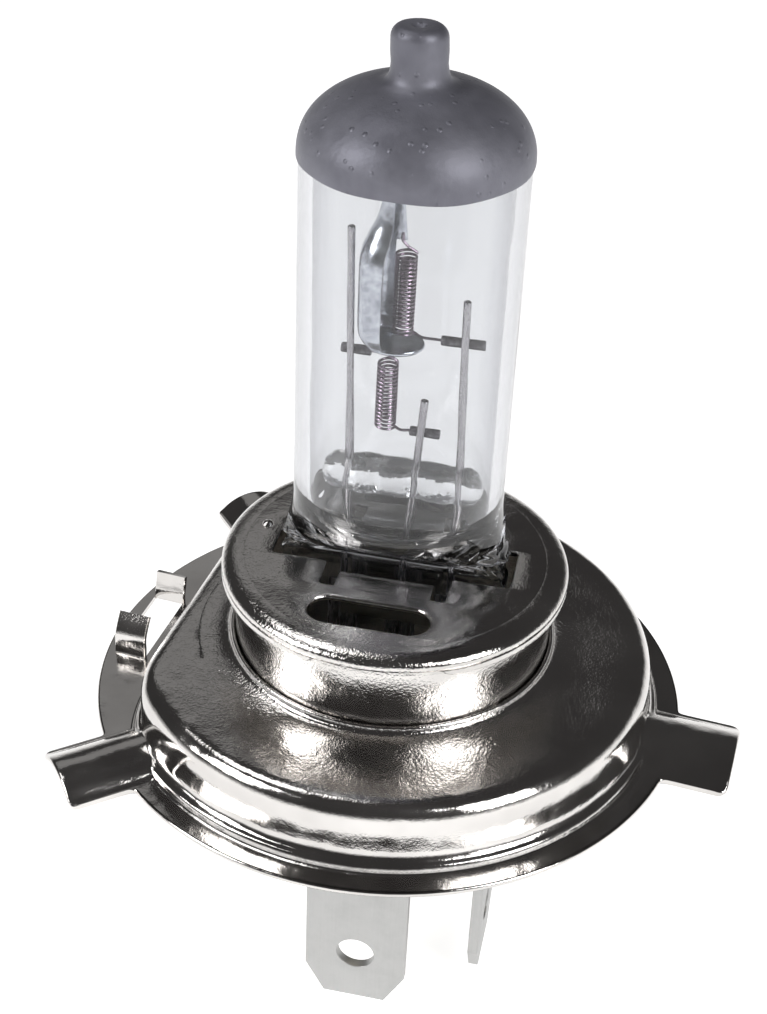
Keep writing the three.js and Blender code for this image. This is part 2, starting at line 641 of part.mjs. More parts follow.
// A blade terminal: chamfered end, round latch hole, and a thinner root with a narrow welding tang,
// which starts at a shoulder just below the insulator.
const [chamferX, chamferZ] = BLADE_CHAMFER;
const w = BLADE_WIDTH / 2;
const rootOutline = new THREE.Shape([
  [-w, BLADE_SHOULDER - 1], [w, BLADE_SHOULDER - 1], [w, BLADE_TOP], [TANG_HALF_WIDTH, BLADE_TOP],
  [TANG_HALF_WIDTH, TANG_TOP], [-TANG_HALF_WIDTH, TANG_TOP], [-TANG_HALF_WIDTH, BLADE_TOP],
  [-w, BLADE_TOP],
].map(([x, z]) => new THREE.Vector2(x, z)));
for (const blade of blades) {
  const outline = new THREE.Shape([
    [-w, blade.bottom + chamferZ], [-w + chamferX, blade.bottom], [w - chamferX, blade.bottom],
    [w, blade.bottom + chamferZ], [w, BLADE_SHOULDER], [-w, BLADE_SHOULDER],
  ].map(([x, z]) => new THREE.Vector2(x, z)));
  const hole = new THREE.Path();
  hole.absarc(0, blade.bottom + BLADE_HOLE_FROM_END, BLADE_HOLE_RADIUS, 0, Math.PI * 2, true);
  outline.holes.push(hole);
  const body = plate(outline, -BLADE_THICKNESS / 2, BLADE_THICKNESS / 2, 10);
  const root = plate(rootOutline, -BLADE_ROOT_THICKNESS / 2, BLADE_ROOT_THICKNESS / 2);
  const solid = toSolid(body.rotateX(Math.PI / 2)).add(toSolid(root.rotateX(Math.PI / 2)));
  const mesh = add(blade.name, toGeometry(solid), 0xb4b4b0, 0.45, 1.0);
  mesh.position.set(blade.x, blade.y, 0);
  mesh.rotation.z = blade.turn;
}

// Lead wires run from the pinch to the tangs of the blades.
const leadTop = foilBottom - 0.2;
const leadOffset = BLADE_THICKNESS / 2 + LEAD_RADIUS + 0.2;
const leadEnd = -4.6;
const leads = [
  { name: 'lead_wire_front', from: POSTS[0].footX, end: [SIDE_BLADE_X, -SIDE_BLADE_Y + leadOffset] },
  { name: 'lead_wire_back', from: POSTS[1].footX, end: [SIDE_BLADE_X, SIDE_BLADE_Y - leadOffset] },
  { name: 'lead_wire_cross', from: POSTS[2].footX, end: [CROSS_BLADE_X - leadOffset, 0] },
];
for (const lead of leads) {
  const [x, y] = lead.end;
  const line = [
    [lead.from, 0, leadTop], [lead.from, 0, PINCH_BOTTOM + 0.5], [lead.from, 0, PINCH_BOTTOM - 0.6],
    [(lead.from + x) / 2, y / 2, 0], [x, y, -1.4], [x, y, -2.4], [x, y, leadEnd],
  ];
  add(lead.name, wire(line, LEAD_RADIUS, 8, 14), 0x9b9894, 0.4, 1.0);
}

export default object;
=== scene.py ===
import math

import bmesh
import bpy
import numpy as np
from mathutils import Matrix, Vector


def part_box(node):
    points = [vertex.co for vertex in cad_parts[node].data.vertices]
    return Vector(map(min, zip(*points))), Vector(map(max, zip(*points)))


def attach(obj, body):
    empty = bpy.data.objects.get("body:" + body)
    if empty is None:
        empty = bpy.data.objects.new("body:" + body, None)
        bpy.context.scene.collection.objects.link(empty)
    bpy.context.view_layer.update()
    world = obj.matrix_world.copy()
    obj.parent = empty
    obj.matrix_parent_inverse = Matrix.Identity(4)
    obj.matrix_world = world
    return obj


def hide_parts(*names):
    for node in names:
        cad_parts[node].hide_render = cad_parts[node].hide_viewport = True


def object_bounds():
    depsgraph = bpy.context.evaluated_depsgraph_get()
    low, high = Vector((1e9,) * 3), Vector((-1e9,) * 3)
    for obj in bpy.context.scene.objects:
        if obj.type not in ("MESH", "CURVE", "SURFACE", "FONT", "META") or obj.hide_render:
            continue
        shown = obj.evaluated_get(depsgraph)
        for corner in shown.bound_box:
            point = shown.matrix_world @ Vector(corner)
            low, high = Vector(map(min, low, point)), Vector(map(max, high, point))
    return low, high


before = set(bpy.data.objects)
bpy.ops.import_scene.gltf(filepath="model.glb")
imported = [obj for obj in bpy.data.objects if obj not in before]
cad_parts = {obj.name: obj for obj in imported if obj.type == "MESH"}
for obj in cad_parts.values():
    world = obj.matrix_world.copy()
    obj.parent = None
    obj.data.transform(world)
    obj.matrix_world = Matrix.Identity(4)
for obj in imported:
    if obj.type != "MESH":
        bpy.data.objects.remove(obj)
cad_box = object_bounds()

# ---- Support posts ---------------------------------------------------------------------------
# Three straight molybdenum wires, 0.54 mm thick, that carry the current up from the glass foot
# and hold the filaments and the shield. They are cut from drawn wire and sealed into the quartz.

MM = 0.001


def linear(hex_colour):
    """The linear colour of an sRGB hex value, such as "b4b4b0"."""
    channels = [int(hex_colour[i : i + 2], 16) / 255 for i in (0, 2, 4)]
    return [c / 12.92 if c <= 0.04045 else ((c + 0.055) / 1.055) ** 2.4 for c in channels] + [1.0]


def add_node(tree, kind, inputs=None, stops=(), **settings):
    """Adds a node. Each input is given a value, or the output socket that feeds it. Stops are the
    positions and colours of a colour ramp: its two ends, then any between them."""
    made = tree.nodes.new(kind)
    for name, value in settings.items():
        setattr(made, name, value)
    for name, value in (inputs or {}).items():
        if isinstance(value, bpy.types.NodeSocket):
            tree.links.new(value, made.inputs[name])
        else:
            made.inputs[name].default_value = value
    for i, (position, colour) in enumerate(stops):
        stop = made.color_ramp.elements[i] if i < 2 else made.color_ramp.elements.new(position)
        stop.position, stop.color = position, linear(colour)
    return made


def start_material(name):
    """A new material. Returns it, its emptied node tree and the place of a point on the object."""
    material = bpy.data.materials.new(name)
    material.use_nodes = True
    tree = material.node_tree
    tree.nodes.clear()
    return material, tree, add_node(tree, "ShaderNodeTexCoord").outputs["Object"]


def make_piece(name, vertices, faces, material, stands_for, sharp=35):
    """A mesh piece from points in millimetres, with edges sharper than an angle left crisp."""
    mesh = bpy.data.meshes.new(name)
    points = [[c * MM for c in point] for point in np.asarray(vertices).tolist()]
    mesh.from_pydata(points, [], faces)
    mesh.validate()
    mesh.materials.append(material)
    mesh.shade_smooth()
    mesh.set_sharp_from_angle(angle=math.radians(sharp))
    piece = bpy.data.objects.new(name, mesh)
    bpy.context.scene.collection.objects.link(piece)
    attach(piece, "root")
    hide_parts(*stands_for)
    return piece


def skin_faces(
    rows, columns, first=0, close_rows=False, close_columns=True, flip=False, ends=False
):
    """The quads of a grid of points that starts at vertex first. Ends closes the first and the last
    row with a face each."""
    faces = []
    for i in range(rows if close_rows else rows - 1):
        j = (i + 1) % rows
        for k in range(columns if close_columns else columns - 1):
            n = (k + 1) % columns
            quad = [first + i * columns + k, first + i * columns + n]
            quad += [first + j * columns + n, first + j * columns + k]
            faces.append(quad[::-1] if flip else quad)
    if ends:
        for row, turned in ((0, not flip), (rows - 1, flip)):
            end = list(range(first + row * columns, first + (row + 1) * columns))
            faces.append(end[::-1] if turned else end)
    return faces


def sweep(path, radii, sides):
    """A round tube along a line of points, with flat ends. Returns its vertices and faces."""
    path = np.asarray(path, float)
    radii = np.broadcast_to(np.asarray(radii, float), len(path))
    along = np.gradient(path, axis=0)
    along /= np.linalg.norm(along, axis=1)[:, None]
    start = np.cross(along[0], [0.31, 0.87, 0.39])
    across = start / np.linalg.norm(start)
    turns = np.linspace(0, 2 * math.pi, sides, endpoint=False)
    vertices = []
    for point, direction, radius in zip(path, along, radii):
        across = across - direction * across.dot(direction)
        across /= np.linalg.norm(across)
        up = np.cross(direction, across)
        ring = np.outer(np.cos(turns), across) + np.outer(np.sin(turns), up)
        vertices.append(point + radius * ring)
    return np.vstack(vertices), skin_faces(len(path), sides, ends=True)


def joined(parts):
    """Several lists of vertices and faces as one."""
    vertices, faces = [], []
    for part_vertices, part_faces in parts:
        first = sum(len(v) for v in vertices)
        vertices.append(np.asarray(part_vertices, float))
        faces += [[first + i for i in face] for face in part_faces]
    return np.vstack(vertices), faces


def smooth_line(corners, count):
    """A smooth line of count points through a few corners, by Catmull-Rom."""
    p = np.asarray(corners, float)
    p = np.vstack([2 * p[0] - p[1], p, 2 * p[-1] - p[-2]])
    line = []
    for u in np.linspace(0, len(p) - 3 - 1e-6, count):
        i, t = int(u), u % 1
        a, b, c, d = p[i : i + 4]
        line.append(
            0.5 * (2 * b + (c - a) * t + (2 * a - 5 * b + 4 * c - d) * t**2
                   + (3 * b - a - 3 * c + d) * t**3)
        )
    return np.array(line)


# Drawn molybdenum, dulled a little when the quartz was melted round it: grey with a mauve cast and
# streaks about 0.05 mm wide along the wire, drawn four times as coarse so that they show.
molybdenum, tree, place = start_material("drawn_molybdenum")
stretched = add_node(tree, "ShaderNodeMapping", {"Vector": place, "Scale": (5000, 5000, 400)})
streaks = add_node(
    tree, "ShaderNodeTexNoise",
    {"Vector": stretched.outputs["Vector"], "Scale": 1.0, "Detail": 3.0, "Roughness": 0.6},
).outputs["Fac"]
tint = add_node(
    tree, "ShaderNodeValToRGB", {"Fac": streaks}, stops=((0.0, "858388"), (1.0, "d2cfd1"))
)
gloss = add_node(
    tree, "ShaderNodeMapRange",
    {"Value": streaks, "From Min": 0.3, "From Max": 0.7, "To Min": 0.18, "To Max": 0.34},
)
relief = add_node(
    tree, "ShaderNodeBump", {"Height": streaks, "Strength": 0.5, "Distance": 0.00002}
)
shader = add_node(
    tree, "ShaderNodeBsdfPrincipled",
    {"Base Color": tint.outputs["Color"], "Metallic": 1.0,
     "Roughness": gloss.outputs["Result"], "Normal": relief.outputs["Normal"]},
)
add_node(tree, "ShaderNodeOutputMaterial", {"Surface": shader.outputs["BSDF"]})

post_radius = 0.27
post_foot_z = 9.3
tube_bottom_z = 13.6
post_lines = {
    "left": {"foot_x": -3.55, "top_x": -3.9, "top_z": 36.6},
    "middle": {"foot_x": 0.7, "top_x": 1.5, "top_z": 24.6},
    "right": {"foot_x": 4.15, "top_x": 3.85, "top_z": 32.3},
}
tip_rounding = 0.07
for side, post in post_lines.items():
    heights = [post_foot_z, post_foot_z + 2, tube_bottom_z - 0.6, tube_bottom_z]
    heights += list(np.linspace(tube_bottom_z + 1, post["top_z"] - 0.3, 12))
    heights += [post["top_z"] - tip_rounding, post["top_z"] - 0.02, post["top_z"]]
    span = post["top_z"] - tube_bottom_z
    path = []
    for z in heights:
        lean = max(0.0, z - tube_bottom_z) / span
        bow = 0.03 * math.sin(lean * 5)
        path.append([post["foot_x"] + (post["top_x"] - post["foot_x"]) * lean + bow, bow, z])
    radii = [post_radius] * (len(path) - 2) + [post_radius - 0.03, post_radius - tip_rounding]
    vertices, faces = sweep(path, radii, 20)
    make_piece(f"post_{side}", vertices, faces, molybdenum, [f"support_post_{side}"])

# ---- Sealing foils ---------------------------------------------------------------------------
# Thin molybdenum strips inside the pinch, welded between post and lead wire. Their edges are etched
# to a feather edge, so that the quartz seals on them without cracking.

foil_width, foil_top_z, foil_height = 2.2, post_foot_z - 0.2, 4.4
rows, columns = 12, 9
for side, post in post_lines.items():
    vertices = []
    for face_side in (1, -1):
        for i in range(rows):
            for k in range(columns):
                across = (k / (columns - 1) - 0.5) * 2
                z = foil_top_z - foil_height * i / (rows - 1)
                thickness = 0.055 * (1 - across**4) + 0.004
                ripple = 0.01 * math.sin(i * 1.9 + k)
                vertices.append(
                    [post["foot_x"] + across * foil_width / 2, face_side * thickness + ripple, z]
                )
    faces = skin_faces(rows, columns, close_columns=False)
    faces += skin_faces(rows, columns, first=rows * columns, close_columns=False, flip=True)
    rim = list(range(columns))
    rim += [i * columns + columns - 1 for i in range(1, rows)]
    rim += [(rows - 1) * columns + k for k in range(columns - 2, -1, -1)]
    rim += [i * columns for i in range(rows - 2, 0, -1)]
    back = rows * columns
    for a, b in zip(rim, rim[1:] + rim[:1]):
        faces.append([b, a, a + back, b + back])
    make_piece(f"foil_{side}", vertices, faces, molybdenum, [f"seal_foil_{side}"])

# ---- Quartz bridge ---------------------------------------------------------------------------
# A short bar of fused quartz, melted round the three posts to hold them apart. Surface tension
# leaves it rounded, thicker in the middle of each span and drawn up where a post passes through.


def let_lamps_through(tree, glass):
    """Ends a quartz material so that lamps shine through it without a dark shadow."""
    shadow_ray = add_node(tree, "ShaderNodeLightPath").outputs["Is Shadow Ray"]
    clear = add_node(tree, "ShaderNodeBsdfTransparent", {"Color": linear("f4f6f8")})
    mixed = add_node(
        tree, "ShaderNodeMixShader",
        {0: shadow_ray, 1: glass.outputs["BSDF"], 2: clear.outputs["BSDF"]},
    )
    add_node(tree, "ShaderNodeOutputMaterial", {"Surface": mixed.outputs["Shader"]})


# The bridge's quartz was worked from drawn rod: full of fine bubbles, so it is a little milky.
seeded_quartz, tree, place = start_material("seeded_quartz_rod")
bubbles = add_node(
    tree, "ShaderNodeTexVoronoi", {"Vector": place, "Scale": 2200.0, "Randomness": 1.0}
).outputs["Distance"]
relief = add_node(tree, "ShaderNodeBump", {"Height": bubbles, "Strength": 0.4, "Distance": 0.0001})
haze = add_node(tree, "ShaderNodeMapRange", {"Value": bubbles, "To Min": 0.12, "To Max": 0.02})
glass = add_node(
    tree, "ShaderNodeBsdfPrincipled",
    {"Base Color": linear("fdfdfd"), "Roughness": haze.outputs["Result"], "IOR": 1.46,
     "Transmission Weight": 0.97, "Normal": relief.outputs["Normal"]},
)
let_lamps_through(tree, glass)

bridge_low, bridge_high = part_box("quartz_bridge")
bridge_from_x, bridge_to_x = bridge_low.x / MM, bridge_high.x / MM
bridge_z = (bridge_low.z + bridge_high.z) / 2 / MM
posts_in_bridge = (-3.62, 0.9, 4.1)
columns = 36
turns = np.linspace(0, 2 * math.pi, columns, endpoint=False)
stations = np.concatenate([
    [0.0, 0.012, 0.03, 0.055, 0.085], np.linspace(0.11, 0.89, 44), [0.915, 0.945, 0.97, 0.988, 1.0],
])
vertices = []
for s in stations:
    x = bridge_from_x + (bridge_to_x - bridge_from_x) * s
    end = min(s, 1 - s) / 0.12
    roundness = math.sqrt(max(0.02, 1 - (1 - min(1.0, end)) ** 2))
    neck = sum(math.exp(-(((x - at) / 0.75) ** 2)) for at in posts_in_bridge)
    half_height = (1.34 - 0.16 * neck + 0.06 * math.sin(x * 1.7)) * roundness
    half_depth = (1.6 - 0.1 * neck + 0.08 * math.sin(x * 2.3 + 1)) * roundness
    centre_z = bridge_z - 0.05 + 0.05 * math.sin(x * 0.9 + 0.6)
    for turn in turns:
        dent = 1 + 0.02 * math.sin(3 * turn + x) + 0.015 * math.sin(5 * turn - 2 * x)
        vertices.append([
            x, half_depth * math.cos(turn) * dent, centre_z + half_height * math.sin(turn) * dent,
        ])
faces = skin_faces(len(stations), columns, ends=True)
make_piece("bridge", vertices, faces, seeded_quartz, ["quartz_bridge"], sharp=80)

# ---- Beam shield -----------------------------------------------------------------------------
# A bright cup pressed from molybdenum sheet, 0.2 mm thick. It stands beside and below the low-beam
# coil to cut its light off on one side, and hangs by a narrow strap that runs up under the coating.

burner_y = 0.65

# Pressed molybdenum sheet, electropolished: bright, cool grey, with soft ripples about 0.6 mm apart
# left by the press.
bright_sheet, tree, place = start_material("polished_molybdenum_sheet")
waves = add_node(
    tree, "ShaderNodeTexNoise", {"Vector": place, "Scale": 1500.0, "Detail": 3.0, "Roughness": 0.5}
).outputs["Fac"]
tint = add_node(
    tree, "ShaderNodeValToRGB", {"Fac": waves}, stops=((0.25, "a6a9b2"), (0.75, "dfe2e8"))
)
relief = add_node(tree, "ShaderNodeBump", {"Height": waves, "Strength": 0.5, "Distance": 0.00006})
gloss = add_node(tree, "ShaderNodeMapRange", {"Value": waves, "To Min": 0.12, "To Max": 0.3})
shader = add_node(
    tree, "ShaderNodeBsdfPrincipled",
    {"Base Color": tint.outputs["Color"], "Metallic": 1.0,
     "Roughness": gloss.outputs["Result"], "Normal": relief.outputs["Normal"]},
)
add_node(tree, "ShaderNodeOutputMaterial", {"Surface": shader.outputs["BSDF"]})


def folded_ends(rows, columns):
    """Quads that close the first and the last row of a grid whose rows run out along one side of a
    sheet and back along the other."""
    faces = []
    for start in (0, (rows - 1) * columns):
        for i in range(columns // 2 - 1):
            quad = [start + i, start + i + 1, start + columns - 2 - i, start + columns - 1 - i]
            faces.append(quad if start else quad[::-1])
    return faces


sheet = 0.2
cup_lines = np.array([
    # height, keel, rim, half width front to back
    [28.3, -1.9, -1.05, 1.2],
    [28.45, -2.75, -1.25, 1.75],
    [28.9, -3.15, -1.4, 2.05],
    [29.6, -3.35, -1.5, 2.2],
    [32.0, -3.38, -1.5, 2.2],
    [34.2, -3.36, -1.48, 2.2],
    [35.2, -3.22, -1.4, 1.95],
    [36.0, -2.95, -1.25, 1.55],
    [37.0, -2.45, -1.15, 1.1],
    [38.4, -2.05, -1.15, 0.8],
    [39.6, -1.95, -1.2, 0.74],
])
smooth_cup = smooth_line(cup_lines, 60)
arc_steps = 24
vertices = []
for z, keel, rim, half in smooth_cup:
    for inset, order in ((0.0, 1), (sheet, -1)):
        for i in range(arc_steps + 1)[::order]:
            angle = (0.5 - i / arc_steps) * math.pi
            depth = rim - keel - inset
            vertices.append([
                rim - depth * math.cos(angle) ** 0.7,
                burner_y + (half - inset) * math.copysign(abs(math.sin(angle)) ** 0.85, angle), z,
            ])
columns = 2 * (arc_steps + 1)
rows = len(smooth_cup)
parts = [(vertices, skin_faces(rows, columns) + folded_ends(rows, columns))]
# The cup's floor is a tongue that turns in under the coil.
floor_columns, floor_x, floor_half_width, floor_half_depth = 40, -0.9, 2.03, 1.72
vertices = []
for z, scale in ((28.12, 0.97), (28.2, 1.0), (28.3, 1.0), (28.38, 0.97)):
    for turn in np.linspace(0, 2 * math.pi, floor_columns, endpoint=False):
        vertices.append([
            floor_x + floor_half_width * scale * math.cos(turn),
            burner_y + floor_half_depth * scale * math.sin(turn), z,
        ])
parts.append((vertices, skin_faces(4, floor_columns, ends=True)))
# A flat strip inside the strap carries the coil's upper leg.
strip, strip_rows, strip_low_z, strip_high_z = [], 12, 35.6, 39.6
strip_outline = (
    (-0.4, -0.06), (0.4, -0.06), (0.42, 0.0), (0.4, 0.06), (-0.4, 0.06), (-0.42, 0.0),
)
for z in np.linspace(strip_low_z, strip_high_z, strip_rows):
    drift = -0.85 - 0.1 * (z - strip_low_z)
    for x, y in strip_outline:
        strip.append([drift + x, burner_y + 0.35 + y, z])
parts.append((strip, skin_faces(strip_rows, len(strip_outline), ends=True)))
vertices, faces = joined(parts)
make_piece("shield", vertices, faces, bright_sheet, ["beam_shield"], sharp=50)

# ---- Filaments -------------------------------------------------------------------------------
# Two single coils of tungsten wire, wound on a mandrel and set by heat. The upper one makes the
# low beam and stands beside the shield; the lower one makes the high beam and stands free.

# Drawn tungsten: dark grey with a purple cast, smooth, with die lines round the wire that are too
# fine to show, so that they are drawn about 0.05 mm apart.
tungsten, tree, place = start_material("drawn_tungsten")
grain = add_node(
    tree, "ShaderNodeTexNoise", {"Vector": place, "Scale": 6000.0, "Detail": 2.0, "Roughness": 0.5}
).outputs["Fac"]
tint = add_node(
    tree, "ShaderNodeValToRGB", {"Fac": grain}, stops=((0.0, "6a5c69"), (1.0, "b9a9b6"))
)
relief = add_node(tree, "ShaderNodeBump", {"Height": grain, "Strength": 0.3, "Distance": 0.00001})
shader = add_node(
    tree, "ShaderNodeBsdfPrincipled",
    {"Base Color": tint.outputs["Color"], "Metallic": 1.0, "Roughness": 0.26,
     "Normal": relief.outputs["Normal"]},
)
add_node(tree, "ShaderNodeOutputMaterial", {"Surface": shader.outputs["BSDF"]})

wire_radius, wire_sides, coil_radius, steps_per_turn, leg_steps = 0.098, 8, 0.645, 20, 24


def coil(x, bottom, top, turns_of_wire, top_leg, bottom_leg, start_angle):
    """The line of one filament: its top leg, the coil wound downwards, and its bottom leg."""
    steps = round(turns_of_wire * steps_per_turn)
    wound = []
    for i in range(steps + 1):
        angle = start_angle + i / steps_per_turn * 2 * math.pi
        wound.append([
            x + coil_radius * math.cos(angle), burner_y + coil_radius * math.sin(angle),
            top - (top - bottom) * i / steps,
        ])
    first = smooth_line([*top_leg, wound[0], wound[1]], leg_steps)[:-2]
    last = smooth_line([wound[-2], wound[-1], *bottom_leg], leg_steps)[2:]
    return np.vstack([first, wound, last])


low_line = coil(
    x=-0.4, bottom=29.15, top=34.85, turns_of_wire=20,
    top_leg=[[-0.75, burner_y + 0.32, 36.1], [-0.65, burner_y + 0.2, 35.5]],
    bottom_leg=[[0.9, burner_y - 0.12, 29.0], [1.75, burner_y, 28.9], [2.6, burner_y, 28.9]],
    start_angle=0.4,
)
vertices, faces = sweep(low_line, wire_radius, wire_sides)
make_piece("low_coil", vertices, faces, tungsten, ["low_beam_filament"])
high_line = coil(
    x=-1.3, bottom=21.85, top=26.75, turns_of_wire=17,
    top_leg=[[-2.9, burner_y, 27.4], [-2.35, burner_y, 27.4], [-1.5, burner_y - 0.02, 27.3],
             [-0.82, burner_y - 0.05, 27.05]],
    bottom_leg=[[-0.2, burner_y - 0.12, 21.72], [0.35, burner_y, 21.7], [0.9, burner_y, 21.7]],
    start_angle=0.0,
)
vertices, faces = sweep(high_line, wire_radius, wire_sides)
make_piece("high_coil", vertices, faces, tungsten, ["high_beam_filament"])

# ---- Crimp sleeves ---------------------------------------------------------------------------
# Short tubes of nickel-iron sheet, rolled round each filament leg, squeezed flat in the middle and
# spot welded on behind the post.

# Oxidised sheet from the weld: nearly black, dull, with blotches about 0.3 mm across.
sleeve_metal, tree, place = start_material("oxidised_sleeve_sheet")
blotches = add_node(
    tree, "ShaderNodeTexNoise", {"Vector": place, "Scale": 3300.0, "Detail": 4.0, "Roughness": 0.6}
).outputs["Fac"]
tint = add_node(
    tree, "ShaderNodeValToRGB", {"Fac": blotches}, stops=((0.3, "37353a"), (0.75, "8a868b"))
)
relief = add_node(
    tree, "ShaderNodeBump", {"Height": blotches, "Strength": 0.6, "Distance": 0.00004}
)
gloss = add_node(tree, "ShaderNodeMapRange", {"Value": blotches, "To Min": 0.55, "To Max": 0.3})
shader = add_node(
    tree, "ShaderNodeBsdfPrincipled",
    {"Base Color": tint.outputs["Color"], "Metallic": 1.0,
     "Roughness": gloss.outputs["Result"], "Normal": relief.outputs["Normal"]},
)
add_node(tree, "ShaderNodeOutputMaterial", {"Surface": shader.outputs["BSDF"]})

sleeve_steps, sleeve_sides, bore = 25, 18, 0.15
for side, post_x in (("left", -3.75), ("middle", 1.35), ("right", 3.88)):
    low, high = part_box(f"crimp_sleeve_{side}")
    from_x, to_x, z = low.x / MM, high.x / MM, (low.z + high.z) / 2 / MM
    outer = (high.z - low.z) / 2 / MM
    rings = []
    for surface, stations in (
        (outer, np.linspace(0, 1, sleeve_steps)), (bore, np.linspace(1, 0, sleeve_steps)),
    ):
        for s in stations:
            x = from_x + (to_x - from_x) * s
            crimp = math.exp(-(((x - post_x) / 0.35) ** 2))
            edge = min(s, 1 - s) * (to_x - from_x)
            radius = surface - (0.03 if edge < 0.02 and surface == outer else 0)
            for turn in np.linspace(0, 2 * math.pi, sleeve_sides, endpoint=False):
                rings.append([
                    x, burner_y + radius * (1 - 0.3 * crimp) * math.cos(turn),
                    z + radius * math.sin(turn),
                ])
    faces = skin_faces(2 * sleeve_steps, sleeve_sides, close_rows=True)
    stands_for = [f"crimp_sleeve_{side}"]
    make_piece(f"sleeve_{side}", rings, faces, sleeve_metal, stands_for)

# ---- Quartz bulb -----------------------------------------------------------------------------
# A tube of fused quartz, 14.5 mm wide with a 1 mm wall. Its top is drawn to a dome and sealed off
# at the exhaust tip; its foot is softened and pressed flat, which leaves the glass crinkled there.

# Fused quartz, flame worked: water clear, with the faint long ripples that the flame leaves about
# every 2 mm. Its colour is painted shade: pale grey face on, deep grey at the edges.
quartz, tree, place = start_material("fused_quartz")
stretched = add_node(tree, "ShaderNodeMapping", {"Vector": place, "Scale": (500, 500, 60)})
ripples = add_node(
    tree, "ShaderNodeTexNoise",
    {"Vector": stretched.outputs["Vector"], "Scale": 1.0, "Detail": 2.0, "Roughness": 0.5},
).outputs["Fac"]
relief = add_node(
    tree, "ShaderNodeBump", {"Height": ripples, "Strength": 0.35, "Distance": 0.00006}
)
# Painted shade: the quartz's colour darkens where its surface turns away from the view, at its
# edges.
edge_shade_amount = add_node(tree, "ShaderNodeLayerWeight", {"Blend": 0.5}).outputs["Facing"]
tint = add_node(
    tree, "ShaderNodeValToRGB", {"Fac": edge_shade_amount},
    stops=((0.42, "e5e6e8"), (1.0, "707077"), (0.55, "cdced2")),
)
glass = add_node(
    tree, "ShaderNodeBsdfPrincipled",
    {"Base Color": tint.outputs["Color"], "Roughness": 0.0, "IOR": 1.46, "Transmission Weight": 1.0,
     "Normal": relief.outputs["Normal"]},
)
let_lamps_through(tree, glass)

glass_radius, wall = 7.27, 1.0
dome_start_z, dome_top_z, tip_radius, tip_top_z = 41.7, 46.2, 1.62, 49.6
pinch_half_width, pinch_half_depth, pinch_bottom_z = 8.0, 1.9, 2.2
dome_power, pinch_power = 2 / 2.2, 0.28


def dome_profile(inset):
    """Radius and height from the start of the dome to the middle of the tip, moved in by inset."""
    profile = []
    radius = glass_radius - inset
    tip = tip_radius - inset
    for angle in np.linspace(0, math.pi / 2, 40):
        r = radius * max(0.0, math.cos(angle)) ** dome_power
        z = dome_start_z + (dome_top_z - inset - dome_start_z) * math.sin(angle) ** dome_power
        if r < tip + 0.75:
            break
        profile.append([r, z])
    shoulder = [[tip + 0.42, profile[-1][1] + 0.16], [tip + 0.16, profile[-1][1] + 0.42]]
    shoulder += [[tip + 0.04, profile[-1][1] + 0.8], [tip - 0.02, 47.4], [tip + 0.02, 48.2]]
    crown = [
        [tip - 0.75 * (1 - math.cos(a)), tip_top_z - inset - 0.75 + 0.75 * math.sin(a)]
        for a in np.linspace(0, math.pi / 2, 8)
    ]
    crown += [[0.6, tip_top_z - inset - 0.04], [0.42, tip_top_z - inset - 0.12]]
    crown += [[0.25, tip_top_z - inset - 0.34], [0.08, tip_top_z - inset - 0.42]]
    return profile + shoulder + crown


columns = 128
turns = np.linspace(0, 2 * math.pi, columns, endpoint=False)


def level_ring(angles, r, z, shift=0.0):
    """A level ring of points round the axis, moved towards -X by shift."""
    return np.column_stack([
        r * np.cos(angles) - shift, r * np.sin(angles), np.full(len(angles), z),
    ])


def tip_shift(z):
    """The tip was drawn off with the flame on one side, so it stands a little off the axis."""
    return 0.0 if z < 45.8 else 0.04 * (z - 45.8)


def foot_blend(z):
    """0 in the pressed foot and 1 in the round tube, above the sloping shoulders."""
    t = min(1.0, max(0.0, (z - 11.7) / 5.6))
    return t * t * (3 - 2 * t)


def outer_ring(z):
    """The bulb's outside at a height: a flat pressed slab below, a round tube above, crinkled
    where the glass was pushed together."""
    share = foot_blend(z)
    crinkle = math.exp(-(((z - 12.6) / 1.6) ** 2))
    ring = []
    for turn in turns:
        c, s = math.cos(turn), math.sin(turn)
        flat_x = pinch_half_width * math.copysign(abs(c) ** pinch_power, c)
        flat_y = pinch_half_depth * math.copysign(abs(s) ** pinch_power, s)
        x = flat_x + (glass_radius * c - flat_x) * share
        y = flat_y + (glass_radius * s - flat_y) * share
        fold = 0.5 * math.sin(5.1 * turn + 2.3 * z) + 0.3 * math.sin(9 * turn - 3.9 * z + 1)
        fold += 0.25 * math.sin(17 * turn + 5.2 * z + 2)
        fold += 0.35 * math.sin(4.1 * z + 2 * math.sin(turn))
        fold += 0.3 * math.sin(7.3 * z + 3 * math.sin(2 * turn + 1))
        swell = 1 - 0.045 * crinkle * (fold + 0.6)
        ring.append([x * swell, y * swell, z])
    return ring


rows = []
for z in np.concatenate([
    [pinch_bottom_z, pinch_bottom_z + 0.15], np.linspace(3, 9, 7), np.linspace(9.6, 17.6, 56),
    [18.5, 20, 23, 28, 34, 39],
]):
    ring = np.array(outer_ring(float(z)))
    if z < pinch_bottom_z + 0.1:
        ring[:, :2] *= 0.985
    rows.append(ring)
for r, z in dome_profile(0.0):
    rows.append(level_ring(turns, r, z, tip_shift(z)))
parts = [(np.vstack(rows), skin_faces(len(rows), columns, ends=True))]
